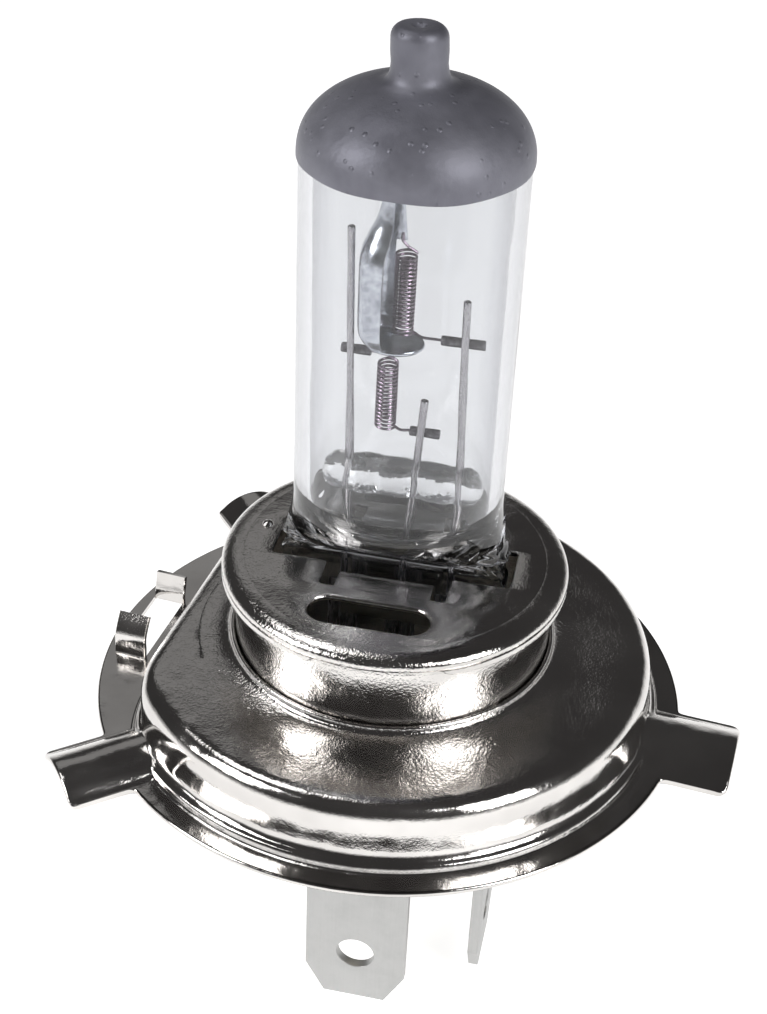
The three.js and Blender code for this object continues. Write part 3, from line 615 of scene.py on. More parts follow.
# The hollow inside: a shallow rounded floor above the pinch, the straight tube and the dome.
inner_radius = glass_radius - wall
rows = []
for r, z in (
    (0.3, 12.95), (1.5, 12.98), (3.0, 13.05), (4.2, 13.15), (5.1, 13.4), (5.7, 13.8), (6.05, 14.4),
    (6.2, 15.2), (inner_radius, 16.4), (inner_radius, 17.6), (inner_radius, 19.0),
    (inner_radius, 22.0), (inner_radius, 29.0), (inner_radius, 36.0), (inner_radius, dome_start_z),
):
    outer_depth = pinch_half_depth + (glass_radius - pinch_half_depth) * foot_blend(z)
    depth = (outer_depth - wall) * min(1.0, r / inner_radius * 1.05)
    wave = 0.12 * math.exp(-(((z - 13.4) / 1.0) ** 2))
    rows.append(np.column_stack([
        r * np.cos(turns), depth * np.sin(turns), z + wave * np.sin(7 * turns + 3 * r),
    ]))
for angle in np.linspace(0.08, math.pi / 2 - 0.03, 22):
    r = inner_radius * math.cos(angle) ** dome_power
    z = dome_start_z + (dome_top_z - wall - dome_start_z) * math.sin(angle) ** dome_power
    rows.append(level_ring(turns, r, z))
parts.append((np.vstack(rows), skin_faces(len(rows), columns, flip=True, ends=True)))
vertices, faces = joined(parts)
make_piece(
    "bulb", vertices, faces, quartz, ["glass_envelope", "pinch_seal"], sharp=80
)

# ---- Dome coating ----------------------------------------------------------------------------
# A coat of heat-resistant dark grey paint, dipped over the dome and the tip so that no light leaves
# the front of the bulb directly. It ends in a slightly wavy line below the dome.

# Refractory coating with iron and silicon powder, dipped and baked: dark grey with a violet cast
# and the soft sheen of the powder, with an orange peel about 0.4 mm across and stray raised grains.
coat, tree, place = start_material("baked_refractory_coating")
peel = add_node(
    tree, "ShaderNodeTexNoise", {"Vector": place, "Scale": 2300.0, "Detail": 4.0, "Roughness": 0.6}
).outputs["Fac"]
clouds = add_node(
    tree, "ShaderNodeTexNoise", {"Vector": place, "Scale": 260.0, "Detail": 3.0, "Roughness": 0.6}
).outputs["Fac"]
tint = add_node(
    tree, "ShaderNodeValToRGB", {"Fac": clouds}, stops=((0.3, "62626b"), (0.75, "7e7e87"))
)
cells = add_node(
    tree, "ShaderNodeTexVoronoi", {"Vector": place, "Scale": 1100.0, "Randomness": 1.0}
).outputs["Distance"]
grains = add_node(
    tree, "ShaderNodeMapRange",
    {"Value": cells, "From Min": 0.06, "From Max": 0.2, "To Min": 1.0, "To Max": 0.0},
)
gloss = add_node(
    tree, "ShaderNodeMapRange",
    {"Value": clouds, "From Min": 0.3, "From Max": 0.7, "To Min": 0.42, "To Max": 0.52},
)
pimples = add_node(
    tree, "ShaderNodeBump",
    {"Height": grains.outputs["Result"], "Strength": 1.0, "Distance": 0.00005},
)
relief = add_node(
    tree, "ShaderNodeBump",
    {"Height": peel, "Strength": 0.5, "Distance": 0.00005, "Normal": pimples.outputs["Normal"]},
)
shader = add_node(
    tree, "ShaderNodeBsdfPrincipled",
    {"Base Color": tint.outputs["Color"], "Metallic": 0.5, "Roughness": gloss.outputs["Result"],
     "Normal": relief.outputs["Normal"]},
)
add_node(tree, "ShaderNodeOutputMaterial", {"Surface": shader.outputs["BSDF"]})

coat_gap, coat_thickness, coat_edge_z, coat_top_z = 0.02, 0.1, 41.5, 49.72
rows = []
for inset, order in ((-coat_gap, -1), (-coat_gap - coat_thickness, 1)):
    line = dome_profile(inset)
    edge_radius = glass_radius - inset
    line = [[edge_radius - (0.03 if order == 1 else 0.0), coat_edge_z],
            [edge_radius, coat_edge_z + 0.08], *line]
    for r, z in line[::order]:
        wavy = 0.06 * np.sin(3 * turns + 1) + 0.04 * np.sin(7 * turns)
        height = z + wavy * max(0.0, 1 - (z - coat_edge_z) / 1.5) + 0.06
        lump = 1.0
        if z > 46.4:
            lump = 1 + 0.03 * np.sin(2 * turns + 0.7) - 0.02
        rows.append(np.column_stack([
            r * np.cos(turns) * lump - tip_shift(z), r * np.sin(turns) * lump,
            np.minimum(height, coat_top_z) if z > 46 else height,
        ]))
# The innermost rings close the coat over the top of the tip, inside and outside.
faces = skin_faces(len(rows), columns, ends=True)
make_piece("coating", np.vstack(rows), faces, coat, ["dome_coating"], sharp=60)

# ---- Holder cap ------------------------------------------------------------------------------
# A shallow lid pressed from 0.5 mm steel. A slot in its top takes the glass pinch, two bent-in
# grips clamp it, and its skirt is spot welded to the collar. It is nickel plated after pressing.

cap_radius, cap_top_z, cap_skirt_z, steel = 12.3, 11.7, 10.2, 0.5

# Nickel-plated deep-drawn steel: a bright mirror, and an orange peel of fine grains about 0.2 mm
# across where the sheet was stretched, which breaks its reflections into specks. It fades towards
# the flange. The presses also leave the sheet wavy over about 7 mm, so that long reflections bend.
nickel, tree, place = start_material("nickel_plated_steel")
grain = add_node(
    tree, "ShaderNodeTexNoise", {"Vector": place, "Scale": 5000.0, "Detail": 2.0, "Roughness": 0.6}
).outputs["Fac"]
stretch = add_node(
    tree, "ShaderNodeTexNoise", {"Vector": place, "Scale": 150.0, "Detail": 3.0, "Roughness": 0.5}
).outputs["Fac"]
amount = add_node(
    tree, "ShaderNodeMapRange",
    {"Value": stretch, "From Min": 0.35, "From Max": 0.65, "To Min": 0.35, "To Max": 1.0},
)
flat_place = add_node(
    tree, "ShaderNodeVectorMath", {0: place, 1: (1.0, 1.0, 0.0)}, operation="MULTIPLY"
)
from_axis = add_node(
    tree, "ShaderNodeVectorMath", {0: flat_place.outputs["Vector"]}, operation="LENGTH"
)
drawn = add_node(
    tree, "ShaderNodeMapRange",
    {"Value": from_axis.outputs["Value"], "From Min": 0.0165, "From Max": 0.0185,
     "To Min": 1.0, "To Max": 0.3},
)
where = add_node(
    tree, "ShaderNodeMath", {0: amount.outputs["Result"], 1: drawn.outputs["Result"]},
    operation="MULTIPLY",
)
peel = add_node(
    tree, "ShaderNodeMath", {0: grain, 1: where.outputs["Value"]}, operation="MULTIPLY"
)
tint = add_node(
    tree, "ShaderNodeValToRGB", {"Fac": stretch}, stops=((0.3, "c4c1be"), (0.7, "dedbd8"))
)
gloss = add_node(
    tree, "ShaderNodeMapRange",
    {"Value": stretch, "From Min": 0.3, "From Max": 0.7, "To Min": 0.08, "To Max": 0.15},
)
waves = add_node(tree, "ShaderNodeBump", {"Height": stretch, "Strength": 1.0, "Distance": 0.00025})
relief = add_node(
    tree, "ShaderNodeBump",
    {"Height": peel.outputs["Value"], "Strength": 0.8, "Distance": 0.00005,
     "Normal": waves.outputs["Normal"]},
)
shader = add_node(
    tree, "ShaderNodeBsdfPrincipled",
    {"Base Color": tint.outputs["Color"], "Metallic": 1.0,
     "Roughness": gloss.outputs["Result"], "Normal": relief.outputs["Normal"]},
)
add_node(tree, "ShaderNodeOutputMaterial", {"Surface": shader.outputs["BSDF"]})


def flat_plate(outlines, half_thickness, rounding):
    """A flat plate between z = -half_thickness and half_thickness, from one outer outline and any
    number of holes, with rounded edges. Returns its vertices and faces."""
    curve = bpy.data.curves.new("outline", "CURVE")
    curve.dimensions = "2D"
    curve.fill_mode = "BOTH"
    curve.extrude = (half_thickness - rounding) * MM
    curve.bevel_depth = rounding * MM
    curve.bevel_resolution = 2
    curve.offset = -rounding * MM
    for outline in outlines:
        spline = curve.splines.new("POLY")
        spline.points.add(len(outline) - 1)
        for point, (x, y) in zip(spline.points, outline):
            point.co = (x * MM, y * MM, 0, 1)
        spline.use_cyclic_u = True
    holder = bpy.data.objects.new("outline", curve)
    bpy.context.scene.collection.objects.link(holder)
    made = holder.to_mesh()
    solid = bmesh.new()
    solid.from_mesh(made)
    bmesh.ops.remove_doubles(solid, verts=solid.verts, dist=1e-7)
    bmesh.ops.recalc_face_normals(solid, faces=solid.faces)
    vertices = [[c / MM for c in v.co] for v in solid.verts]
    faces = [[v.index for v in face.verts] for face in solid.faces]
    solid.free()
    holder.to_mesh_clear()
    bpy.data.objects.remove(holder)
    bpy.data.curves.remove(curve)
    return np.array(vertices), faces


def rounded_outline(x0, x1, y0, y1, radius, steps=8):
    """A rectangle with rounded corners, counterclockwise."""
    points = []
    corners = ((x1, y1, 0, -1, -1), (x0, y1, 1, 1, -1), (x0, y0, 2, 1, 1), (x1, y0, 3, -1, 1))
    for x, y, quarter, to_x, to_y in corners:
        for i in range(steps + 1):
            angle = (quarter + i / steps) * math.pi / 2
            points.append([
                x + to_x * radius + radius * math.cos(angle),
                y + to_y * radius + radius * math.sin(angle),
            ])
    return points


def filleted(corners, radius, steps=5):
    """A closed outline with each of its corners rounded."""
    p = np.asarray(corners, float)
    points = []
    for before, here, after in zip(np.roll(p, 1, axis=0), p, np.roll(p, -1, axis=0)):
        u = (before - here) / np.linalg.norm(before - here)
        v = (after - here) / np.linalg.norm(after - here)
        half = math.acos(np.clip(u.dot(v), -1, 1)) / 2
        reach = min(radius / math.tan(half), 0.45 * np.linalg.norm(before - here),
                    0.45 * np.linalg.norm(after - here))
        start, end = here + u * reach, here + v * reach
        for t in np.linspace(0, 1, steps + 1):
            points.append((1 - t) ** 2 * start + 2 * t * (1 - t) * here + t**2 * end)
    return [list(q) for q in points]


def bent_strip(line, thickness, from_x, to_x):
    """A strip of sheet that follows a bent line in the YZ plane."""
    line = smooth_line(line, 26)
    slope = np.gradient(line, axis=0)
    slope /= np.linalg.norm(slope, axis=1)[:, None]
    normal = np.column_stack([slope[:, 1], -slope[:, 0]])
    inset = 0.06
    levels = []
    for x, half in ((from_x, thickness / 2 - inset), (from_x + inset, thickness / 2),
                    (to_x - inset, thickness / 2), (to_x, thickness / 2 - inset)):
        section = np.vstack([line - normal * half, (line + normal * half)[::-1]])
        levels += [[x, y, z] for y, z in section]
    count = 2 * len(line)
    return np.array(levels), skin_faces(4, count) + folded_ends(4, count)


slot_end_x, slot_half_y = 8.5, 2.2
slit_x, slit_half, slit_reach = 3.9, 0.55, 4.9
rim_radius = cap_radius - 1.5
circle = [
    [rim_radius * math.cos(a), rim_radius * math.sin(a)]
    for a in np.linspace(0, 2 * math.pi, 180, endpoint=False)
]
# The slot for the pinch is cut wider in the middle, where a tab on each side is bent down.
slot_corners = []
for to_x, to_y in ((1, 1), (-1, 1), (-1, -1), (1, -1)):
    corner = [
        [to_x * slot_end_x, to_y * slot_half_y], [to_x * (slit_x + slit_half), to_y * slot_half_y],
        [to_x * (slit_x + slit_half), to_y * slit_reach],
    ]
    slot_corners += corner if to_x * to_y > 0 else corner[::-1]
holes = [filleted(slot_corners, 0.35)]
obround_from_x, obround_to_x, obround_y, obround_half = -4.6, 4.0, 7.6, 1.5
for side in (-1, 1):
    middle = side * obround_y
    holes.append(rounded_outline(
        obround_from_x, obround_to_x, middle - obround_half, middle + obround_half, 1.499, steps=12
    ))
vertices, faces = flat_plate([circle, *holes], steel / 2, 0.12)
vertices[:, 2] += cap_top_z - steel / 2
parts = [(vertices, faces)]
# The rim rolls over into the skirt, which is cut shorter over two stretches between its welds.
columns = 240
rows = []
rim_turns = np.linspace(0, 2 * math.pi, columns, endpoint=False)
profile = [[rim_radius - 0.25, cap_top_z - 0.02], [rim_radius - 0.08, cap_top_z - 0.002]]
profile += [
    [rim_radius + 1.5 * math.sin(a), cap_top_z - 0.75 + 0.75 * math.cos(a)]
    for a in np.linspace(0, math.pi / 2, 13)
]
profile += [[cap_radius, 10.75], [cap_radius - 0.05, 10.62], [cap_radius, 10.5]]
for r, z in profile:
    rows.append(level_ring(rim_turns, r, z))
degrees = np.degrees(rim_turns)
short = np.zeros(columns)
for middle in (-84, 96):
    away = np.abs((degrees - middle + 180) % 360 - 180)
    short = np.maximum(short, np.clip((24 - away) / 5, 0, 1))
lower = cap_skirt_z + 0.45 * short * short * (3 - 2 * short)
for r, lift in ((cap_radius, 0.09), (cap_radius - 0.05, 0.02), (cap_radius - 0.12, 0.0),
                (cap_radius - 0.4, 0.0), (cap_radius - steel, 0.1)):
    rows.append(level_ring(rim_turns, r, lower + lift))
for r, z in ((cap_radius - steel, 10.9), (cap_radius - 0.75, 11.0), (rim_radius - 0.25, 11.22)):
    rows.append(level_ring(rim_turns, r, z))
faces = skin_faces(len(rows), columns, close_rows=True, flip=True)
parts.append((np.vstack(rows), faces))
# The tabs slope down to the pinch, and their ends are the grips that clamp its flat sides.
for side in (-1, 1):
    middle_z = cap_top_z - steel / 2
    tab_line = [[side * y, middle_z + z] for y, z in (
        (5.3, -0.02), (4.7, 0.0), (4.0, -0.03), (3.2, -0.16), (2.7, -0.5), (2.45, -1.1),
        (2.37, -2.2), (2.35, -3.85),
    )]
    tab_half = slit_x - slit_half
    parts.append(bent_strip(tab_line, steel, -tab_half, tab_half))
# Each obround opening has a softly rolled edge, and a small bump beside the pinch locates the
# glass.
edge_roll = 0.15
for side in (-1, 1):
    middle, reach = side * obround_y, obround_half + edge_roll
    edge = rounded_outline(
        obround_from_x - edge_roll, obround_to_x + edge_roll, middle - reach, middle + reach, 1.64,
        steps=14,
    )
    rolled = [[x, y, cap_top_z - 0.25] for x, y in edge + edge[:1]]
    parts.append(sweep(rolled, 0.25, 14))
bump, bump_x, bump_y, bump_radius, bump_rows, bump_sides = [], -9.6, 1.0, 0.5, 8, 20
for a in np.linspace(0.1, math.pi / 2 + 0.2, bump_rows):
    for turn in np.linspace(0, 2 * math.pi, bump_sides, endpoint=False):
        bump.append([
            bump_x + bump_radius * math.sin(a) * math.cos(turn),
            bump_y + bump_radius * math.sin(a) * math.sin(turn),
            cap_top_z - 0.15 + 0.45 * math.cos(a),
        ])
parts.append((bump, skin_faces(bump_rows, bump_sides, flip=True, ends=True)))
vertices, faces = joined(parts)
make_piece("cap", vertices, faces, nickel, ["holder_cap"])

# ---- Holder collar ---------------------------------------------------------------------------
# A short sleeve of drawn steel that joins the cap to the base ring. The cap slides on it while the
# filaments are aligned, and is then welded in place.

columns = 200
turns = np.linspace(0, 2 * math.pi, columns, endpoint=False)
collar_radius = 11.35
rows = []
for r, z in (
    (collar_radius, 3.1), (collar_radius, 5.0), (collar_radius, 8.0), (collar_radius, 11.0),
    (collar_radius - 0.05, 11.08), (collar_radius - 0.15, 11.1), (collar_radius - 0.4, 11.1),
    (collar_radius - steel, 11.0), (collar_radius - steel, 3.1), (collar_radius - 0.4, 3.0),
    (collar_radius - 0.1, 3.0),
):
    rows.append(level_ring(turns, r, z))
faces = skin_faces(len(rows), columns, close_rows=True)
make_piece("collar", np.vstack(rows), faces, nickel, ["holder_collar"])

# ---- Base ring -------------------------------------------------------------------------------
# One pressing of thin steel: a 43 mm flange, a raised 38 mm pilot with a flat on one side, a
# neck round the collar, three arched lugs that key the bulb in the lamp, and two latch tabs.

flange_radius, sheet_depth = 21.5, 0.42
pilot_radius, pilot_chord = 19.0, 15.6
lug_reach, lug_rise, lug_foot = 25.8, 1.1, 0.35
lugs = [(0.0, 3.7), (135.0, 3.0), (-135.0, 3.0)]
key_turn = math.radians(-5.7)


def lug_edge(angle):
    """How far the flange's outline lies from the axis in one direction."""
    reach = flange_radius
    for middle, half_width in lugs:
        away = abs((math.degrees(angle) - middle + 180) % 360 - 180)
        if away < 30:
            away = math.radians(max(away, 1e-4))
            reach = max(reach, min(lug_reach / math.cos(away), half_width / math.sin(away)))
    return reach


# The outline is walked in small steps and its inner corners are rounded, so that columns of the
# mesh crowd at the sides of the lugs.
angles = list(np.linspace(-math.pi, math.pi, 420, endpoint=False))
for middle, half_width in lugs:
    for sign in (-1, 1):
        for r in np.linspace(flange_radius, lug_reach, 26):
            angles.append(math.radians(middle) + sign * math.asin(half_width / r))
        for a in np.linspace(-0.06, 0.0, 14):
            side_angle = math.asin(half_width / flange_radius)
            angles.append(math.radians(middle) + sign * (side_angle - a))
angles = np.unique(np.round((np.array(angles) + math.pi) % (2 * math.pi) - math.pi, 6))
columns = len(angles)
outline = np.array([[lug_edge(a) * math.cos(a), lug_edge(a) * math.sin(a)] for a in angles])
length = np.concatenate([[0], np.cumsum(np.linalg.norm(np.diff(outline, axis=0), axis=1))])
even = np.linspace(0, length[-1], 4000)
walked = np.column_stack([np.interp(even, length, outline[:, i]) for i in (0, 1)])
spread = 17
kernel = np.hanning(2 * spread + 1)
kernel /= kernel.sum()
padded = np.vstack([walked[-spread - 1 : -1], walked, walked[1 : spread + 1]])
rounded = np.column_stack([np.convolve(padded[:, i], kernel, "valid") for i in (0, 1)])
smooth = np.column_stack([np.interp(length, even, rounded[:, i]) for i in (0, 1)])
edge_radius = np.linalg.norm(smooth, axis=1)
edge_angle = np.unwrap(np.arctan2(smooth[:, 1], smooth[:, 0]))
edge_angle = np.maximum.accumulate(edge_angle + np.arange(columns) * 1e-7)


def pilot_edge(angle, inset):
    """Distance from the axis to the pilot's outline moved in by inset. The corners beside the flat
    are rounded."""
    corner = 1.6
    low, high = 5.0, 25.0
    for _ in range(40):
        r = (low + high) / 2
        over_circle = r - (pilot_radius - corner)
        over_flat = -r * math.cos(angle) - (pilot_chord - corner)
        outside = math.hypot(max(over_circle, 0), max(over_flat, 0))
        distance = min(max(over_circle, over_flat), 0) + outside - corner
        if distance < -inset:
            low = r
        else:
            high = r
    return low


def lug_height(x, y):
    """Height of the arched lugs above the flange at a point, and minus one away from them."""
    best = np.full(x.shape, -1.0)
    for middle, half_width in lugs:
        a = math.radians(middle)
        along = x * math.cos(a) + y * math.sin(a)
        across = np.abs(-x * math.sin(a) + y * math.cos(a))
        w = half_width - lug_foot
        bend = (w * w + lug_rise * lug_rise) / (2 * lug_rise)
        arch = np.sqrt(np.maximum(bend**2 - across**2, 0)) + lug_rise - bend
        best = np.where((along > 0) & (across < half_width + 0.5), np.maximum(best, arch), best)
    return best


def raised(rows_xyz):
    """Lifts a row of points over the lugs, with a soft crease where an arch meets the sheet."""
    x, y, z = rows_xyz.T
    arch = lug_height(x, y)
    crease = 0.22
    h = np.clip(0.5 + 0.5 * (arch - z) / crease, 0, 1)
    lifted = z * (1 - h) + arch * h + crease * h * (1 - h)
    return np.column_stack([x, y, np.maximum(lifted, z)])


# The neck stands up round the collar and flares out into the pilot's top.
neck = [
    (11.42, 4.05), (11.42, 5.34), (11.45, 5.44), (11.53, 5.5), (11.62, 5.5), (11.7, 5.45),
    (11.74, 5.36),
]
neck += [
    (11.78 + 2.2 * (1 - math.cos(a)), 4.72 + 0.56 * (1 - math.sin(a)))
    for a in np.linspace(0.15, math.pi / 2, 12)
]
rows = [level_ring(edge_angle, r, z) for r, z in neck]
# The pilot's rows keep outside the flare, each a little further than the one before.
flare_end = 13.98
for inset, z in (
    (4.0, 4.71), (3.0, 4.7), (2.0, 4.7), (1.5, 4.69), (1.1, 4.66), (0.8, 4.57), (0.55, 4.42),
    (0.33, 4.2), (0.15, 3.9), (0.05, 3.55), (0.0, 3.1), (0.0, 2.4), (-0.02, 1.8), (-0.06, 1.35),
    (-0.14, 1.0), (-0.28, 0.74), (-0.46, 0.6), (-0.62, 0.54), (-0.72, 0.45), (-0.78, 0.28),
    (-0.86, 0.1), (-1.0, 0.02), (-1.15, 0.0),
):
    flare_end += 0.02
    r = np.array([max(pilot_edge(a, inset), flare_end) for a in edge_angle])
    rows.append(level_ring(edge_angle, r, z))
foot = rows[-1]
edge = level_ring(edge_angle, edge_radius, 0.0)
for t in np.linspace(0, 1, 15)[1:]:
    rows.append(foot + (edge - foot) * t)
rows = np.array([raised(row) for row in rows])
# The sheet's under side follows its upper side at the sheet's thickness, from the flare outwards.
around = np.roll(rows, -1, axis=1) - np.roll(rows, 1, axis=1)
outwards = np.gradient(rows, axis=0)
normals = np.cross(outwards, around)
normals /= np.linalg.norm(normals, axis=2)[:, :, None]
outwards /= np.linalg.norm(outwards, axis=2)[:, :, None]
flare_row, edge_round = 9, 0.18
under = rows[flare_row:] - normals[flare_row:] * sheet_depth
rim_out, rim_normal = outwards[-1], normals[-1]
rim = []
for share in np.linspace(0.12, 0.88, 6):
    turn = math.pi * share
    back = edge_round * (1 - math.sin(turn))
    down = sheet_depth / 2 * (1 - math.cos(turn))
    rim.append(rows[-1] - rim_out * back - rim_normal * down)
rows[-1] -= rim_out * edge_round
under[-1] -= rim_out * edge_round
rows = [*rows, *rim, *under[::-1]]

mesh = bpy.data.meshes.new("pressing")
mesh.from_pydata(
    (np.vstack(rows) * MM).tolist(), [], skin_faces(len(rows), columns, close_rows=True, flip=True)
)
pressing = bpy.data.objects.new("pressing", mesh)
bpy.context.scene.collection.objects.link(pressing)

# A window is cut in the strip beside the flat, and its two ends are bent up as latch tabs.
latch_outer, latch_inner, latch_front, latch_back = -20.4, -18.0, -3.9, 3.6
cutter_mesh = bpy.data.meshes.new("window")
window = rounded_outline(latch_outer, latch_inner, latch_front, latch_back, 0.12, steps=2)
cutter_points = [[x * MM, y * MM, z * MM] for z in (-3, 3) for x, y in window]
cutter_mesh.from_pydata(cutter_points, [], skin_faces(2, len(window), ends=True))
cutter = bpy.data.objects.new("window", cutter_mesh)
bpy.context.scene.collection.objects.link(cutter)
cut = pressing.modifiers.new("window", "BOOLEAN")
cut.operation = "DIFFERENCE"
cut.object = cutter
cut.solver = "EXACT"
pressed = pressing.evaluated_get(bpy.context.evaluated_depsgraph_get()).to_mesh()
vertices = np.array([v.co for v in pressed.vertices]) / MM
faces = [list(p.vertices) for p in pressed.polygons]
parts = [(vertices, faces)]
bpy.data.objects.remove(pressing)
bpy.data.objects.remove(cutter)
tab_sheet = 0.44
for end_y, bends in (
    (latch_front, [
        (-0.3, -0.28), (0.02, -0.1), (0.12, 0.5), (0.15, 1.45), (0.55, 2.2), (1.15, 2.95),
    ]),
    (latch_back, [(0.3, -0.28), (-0.02, -0.1), (0.0, 0.5), (0.2, 1.2), (0.42, 2.0)]),
):
    tab_line = [[end_y + y, z] for y, z in bends]
    parts.append(bent_strip(tab_line, tab_sheet, latch_outer, latch_inner))
vertices, faces = joined(parts)
cos_key, sin_key = math.cos(key_turn), math.sin(key_turn)
vertices = np.column_stack([
    vertices[:, 0] * cos_key - vertices[:, 1] * sin_key,
    vertices[:, 0] * sin_key + vertices[:, 1] * cos_key, vertices[:, 2],
])
make_piece("flanged_ring", vertices, faces, nickel, ["base_ring"])

# ---- Rear shell ------------------------------------------------------------------------------
# A drawn steel cup with its own narrow flange, welded under the pilot. Its lower edge is rolled in
# to hold the insulator.

columns = 160
turns = np.linspace(0, 2 * math.pi, columns, endpoint=False)
shell_top_z, shell_bottom_z, shell_radius, shell_bore = 3.7, -8.6, 12.2, 11.65
outer_bend = [
    [shell_radius - 0.8 + 0.8 * math.cos(a), shell_bottom_z + 0.8 - 0.8 * math.sin(a)]
    for a in np.linspace(0, math.pi / 2, 8)
]
rows = []
for r, z in [
    [shell_bore, shell_top_z], [13.9, shell_top_z], [14.0, 3.6], [14.0, 3.3], [13.9, 3.2],
    [12.7, 3.2], [12.35, 3.1], [12.22, 2.8], [shell_radius, 2.0], [shell_radius, -2.0],
    [shell_radius, -6.0], *outer_bend, [10.9, shell_bottom_z], [10.8, shell_bottom_z + 0.1],
    [10.8, shell_bottom_z + 0.4], [10.9, shell_bottom_z + 0.5], [11.4, shell_bottom_z + 0.5],
    [11.62, shell_bottom_z + 0.7], [shell_bore, shell_bottom_z + 1.0], [shell_bore, 0.0],
]:
    rows.append(level_ring(turns, r, z))
faces = skin_faces(len(rows), columns, close_rows=True, flip=True)
make_piece("shell", np.vstack(rows), faces, nickel, ["rear_shell"])

# ---- Insulator -------------------------------------------------------------------------------
# A disc of pressed steatite ceramic with a boss that stands out of the shell. Three slots in it
# hold the blade terminals apart.

# Steatite, pressed dry and fired: matt, off-white with a warm cast and pores about 0.2 mm across.
steatite, tree, place = start_material("fired_steatite")
pores = add_node(
    tree, "ShaderNodeTexNoise", {"Vector": place, "Scale": 4500.0, "Detail": 4.0, "Roughness": 0.7}
).outputs["Fac"]
stains = add_node(
    tree, "ShaderNodeTexNoise", {"Vector": place, "Scale": 220.0, "Detail": 3.0, "Roughness": 0.6}
).outputs["Fac"]
tint = add_node(
    tree, "ShaderNodeValToRGB", {"Fac": stains}, stops=((0.3, "cfc7b6"), (0.7, "e3ddd0"))
)
relief = add_node(tree, "ShaderNodeBump", {"Height": pores, "Strength": 0.6, "Distance": 0.00006})
gloss = add_node(tree, "ShaderNodeMapRange", {"Value": pores, "To Min": 0.5, "To Max": 0.75})
shader = add_node(
    tree, "ShaderNodeBsdfPrincipled",
    {"Base Color": tint.outputs["Color"], "Roughness": gloss.outputs["Result"], "IOR": 1.6,
     "Normal": relief.outputs["Normal"]},
)
add_node(tree, "ShaderNodeOutputMaterial", {"Surface": shader.outputs["BSDF"]})

blade_slots = [(-0.45, -6.2, False), (-0.45, 6.2, False), (8.5, 0.0, True)]
holes = []
for x, y, across in blade_slots:
    half_x, half_y = (0.6, 4.3) if across else (4.3, 0.6)
    holes.append(rounded_outline(x - half_x, x + half_x, y - half_y, y + half_y, 0.15, steps=3))
disc_radius, disc_middle_z, boss_middle_z = 11.25, -6.9, -10.1
disc = [[disc_radius * math.cos(a), disc_radius * math.sin(a)] for a in turns]
boss = rounded_outline(-6.9, 9.5, -7.6, 7.6, 3.9, steps=10)
parts = []
for outline, half, rounding, middle_z in (
    (disc, 1.1, 0.2, disc_middle_z), (boss, 2.3, 0.35, boss_middle_z),
):
    vertices, faces = flat_plate([outline, *holes], half, rounding)
    vertices[:, 2] += middle_z
    parts.append((vertices, faces))
vertices, faces = joined(parts)
make_piece("ceramic_insulator", vertices, faces, steatite, ["insulator"])

# ---- Blade terminals -------------------------------------------------------------------------
# Three blades stamped from 0.8 mm brass strip, 8 mm wide, with chamfered ends and a round hole
# for the plug's latch. They are tin plated and stand in the insulator.

# Tin plate over brass, matt: light grey, with rolling lines along the strip about 0.15 mm apart,
# and darker grey handling marks.
tin, tree, place = start_material("tinned_brass_strip")
stretched = add_node(tree, "ShaderNodeMapping", {"Vector": place, "Scale": (6500, 6500, 260)})
rolling = add_node(
    tree, "ShaderNodeTexNoise",
    {"Vector": stretched.outputs["Vector"], "Scale": 1.0, "Detail": 3.0, "Roughness": 0.6},
).outputs["Fac"]
marks = add_node(
    tree, "ShaderNodeTexNoise", {"Vector": place, "Scale": 420.0, "Detail": 5.0, "Roughness": 0.65}
).outputs["Fac"]
mixed = add_node(tree, "ShaderNodeMath", {0: rolling, 1: 0.35}, operation="MULTIPLY")
worn = add_node(
    tree, "ShaderNodeMath", {0: mixed.outputs["Value"], 1: 0.65, 2: marks},
    operation="MULTIPLY_ADD",
)
tint = add_node(
    tree, "ShaderNodeValToRGB", {"Fac": worn.outputs["Value"]},
    stops=((0.3, "a9a9a8"), (0.7, "b8b8b7")),
)
relief = add_node(tree, "ShaderNodeBump", {"Height": rolling, "Strength": 0.3, "Distance": 0.00002})
gloss = add_node(
    tree, "ShaderNodeMapRange",
    {"Value": marks, "From Min": 0.3, "From Max": 0.7, "To Min": 0.42, "To Max": 0.55},
)
shader = add_node(
    tree, "ShaderNodeBsdfPrincipled",
    {"Base Color": tint.outputs["Color"], "Metallic": 1.0,
     "Roughness": gloss.outputs["Result"], "Normal": relief.outputs["Normal"]},
)
add_node(tree, "ShaderNodeOutputMaterial", {"Surface": shader.outputs["BSDF"]})

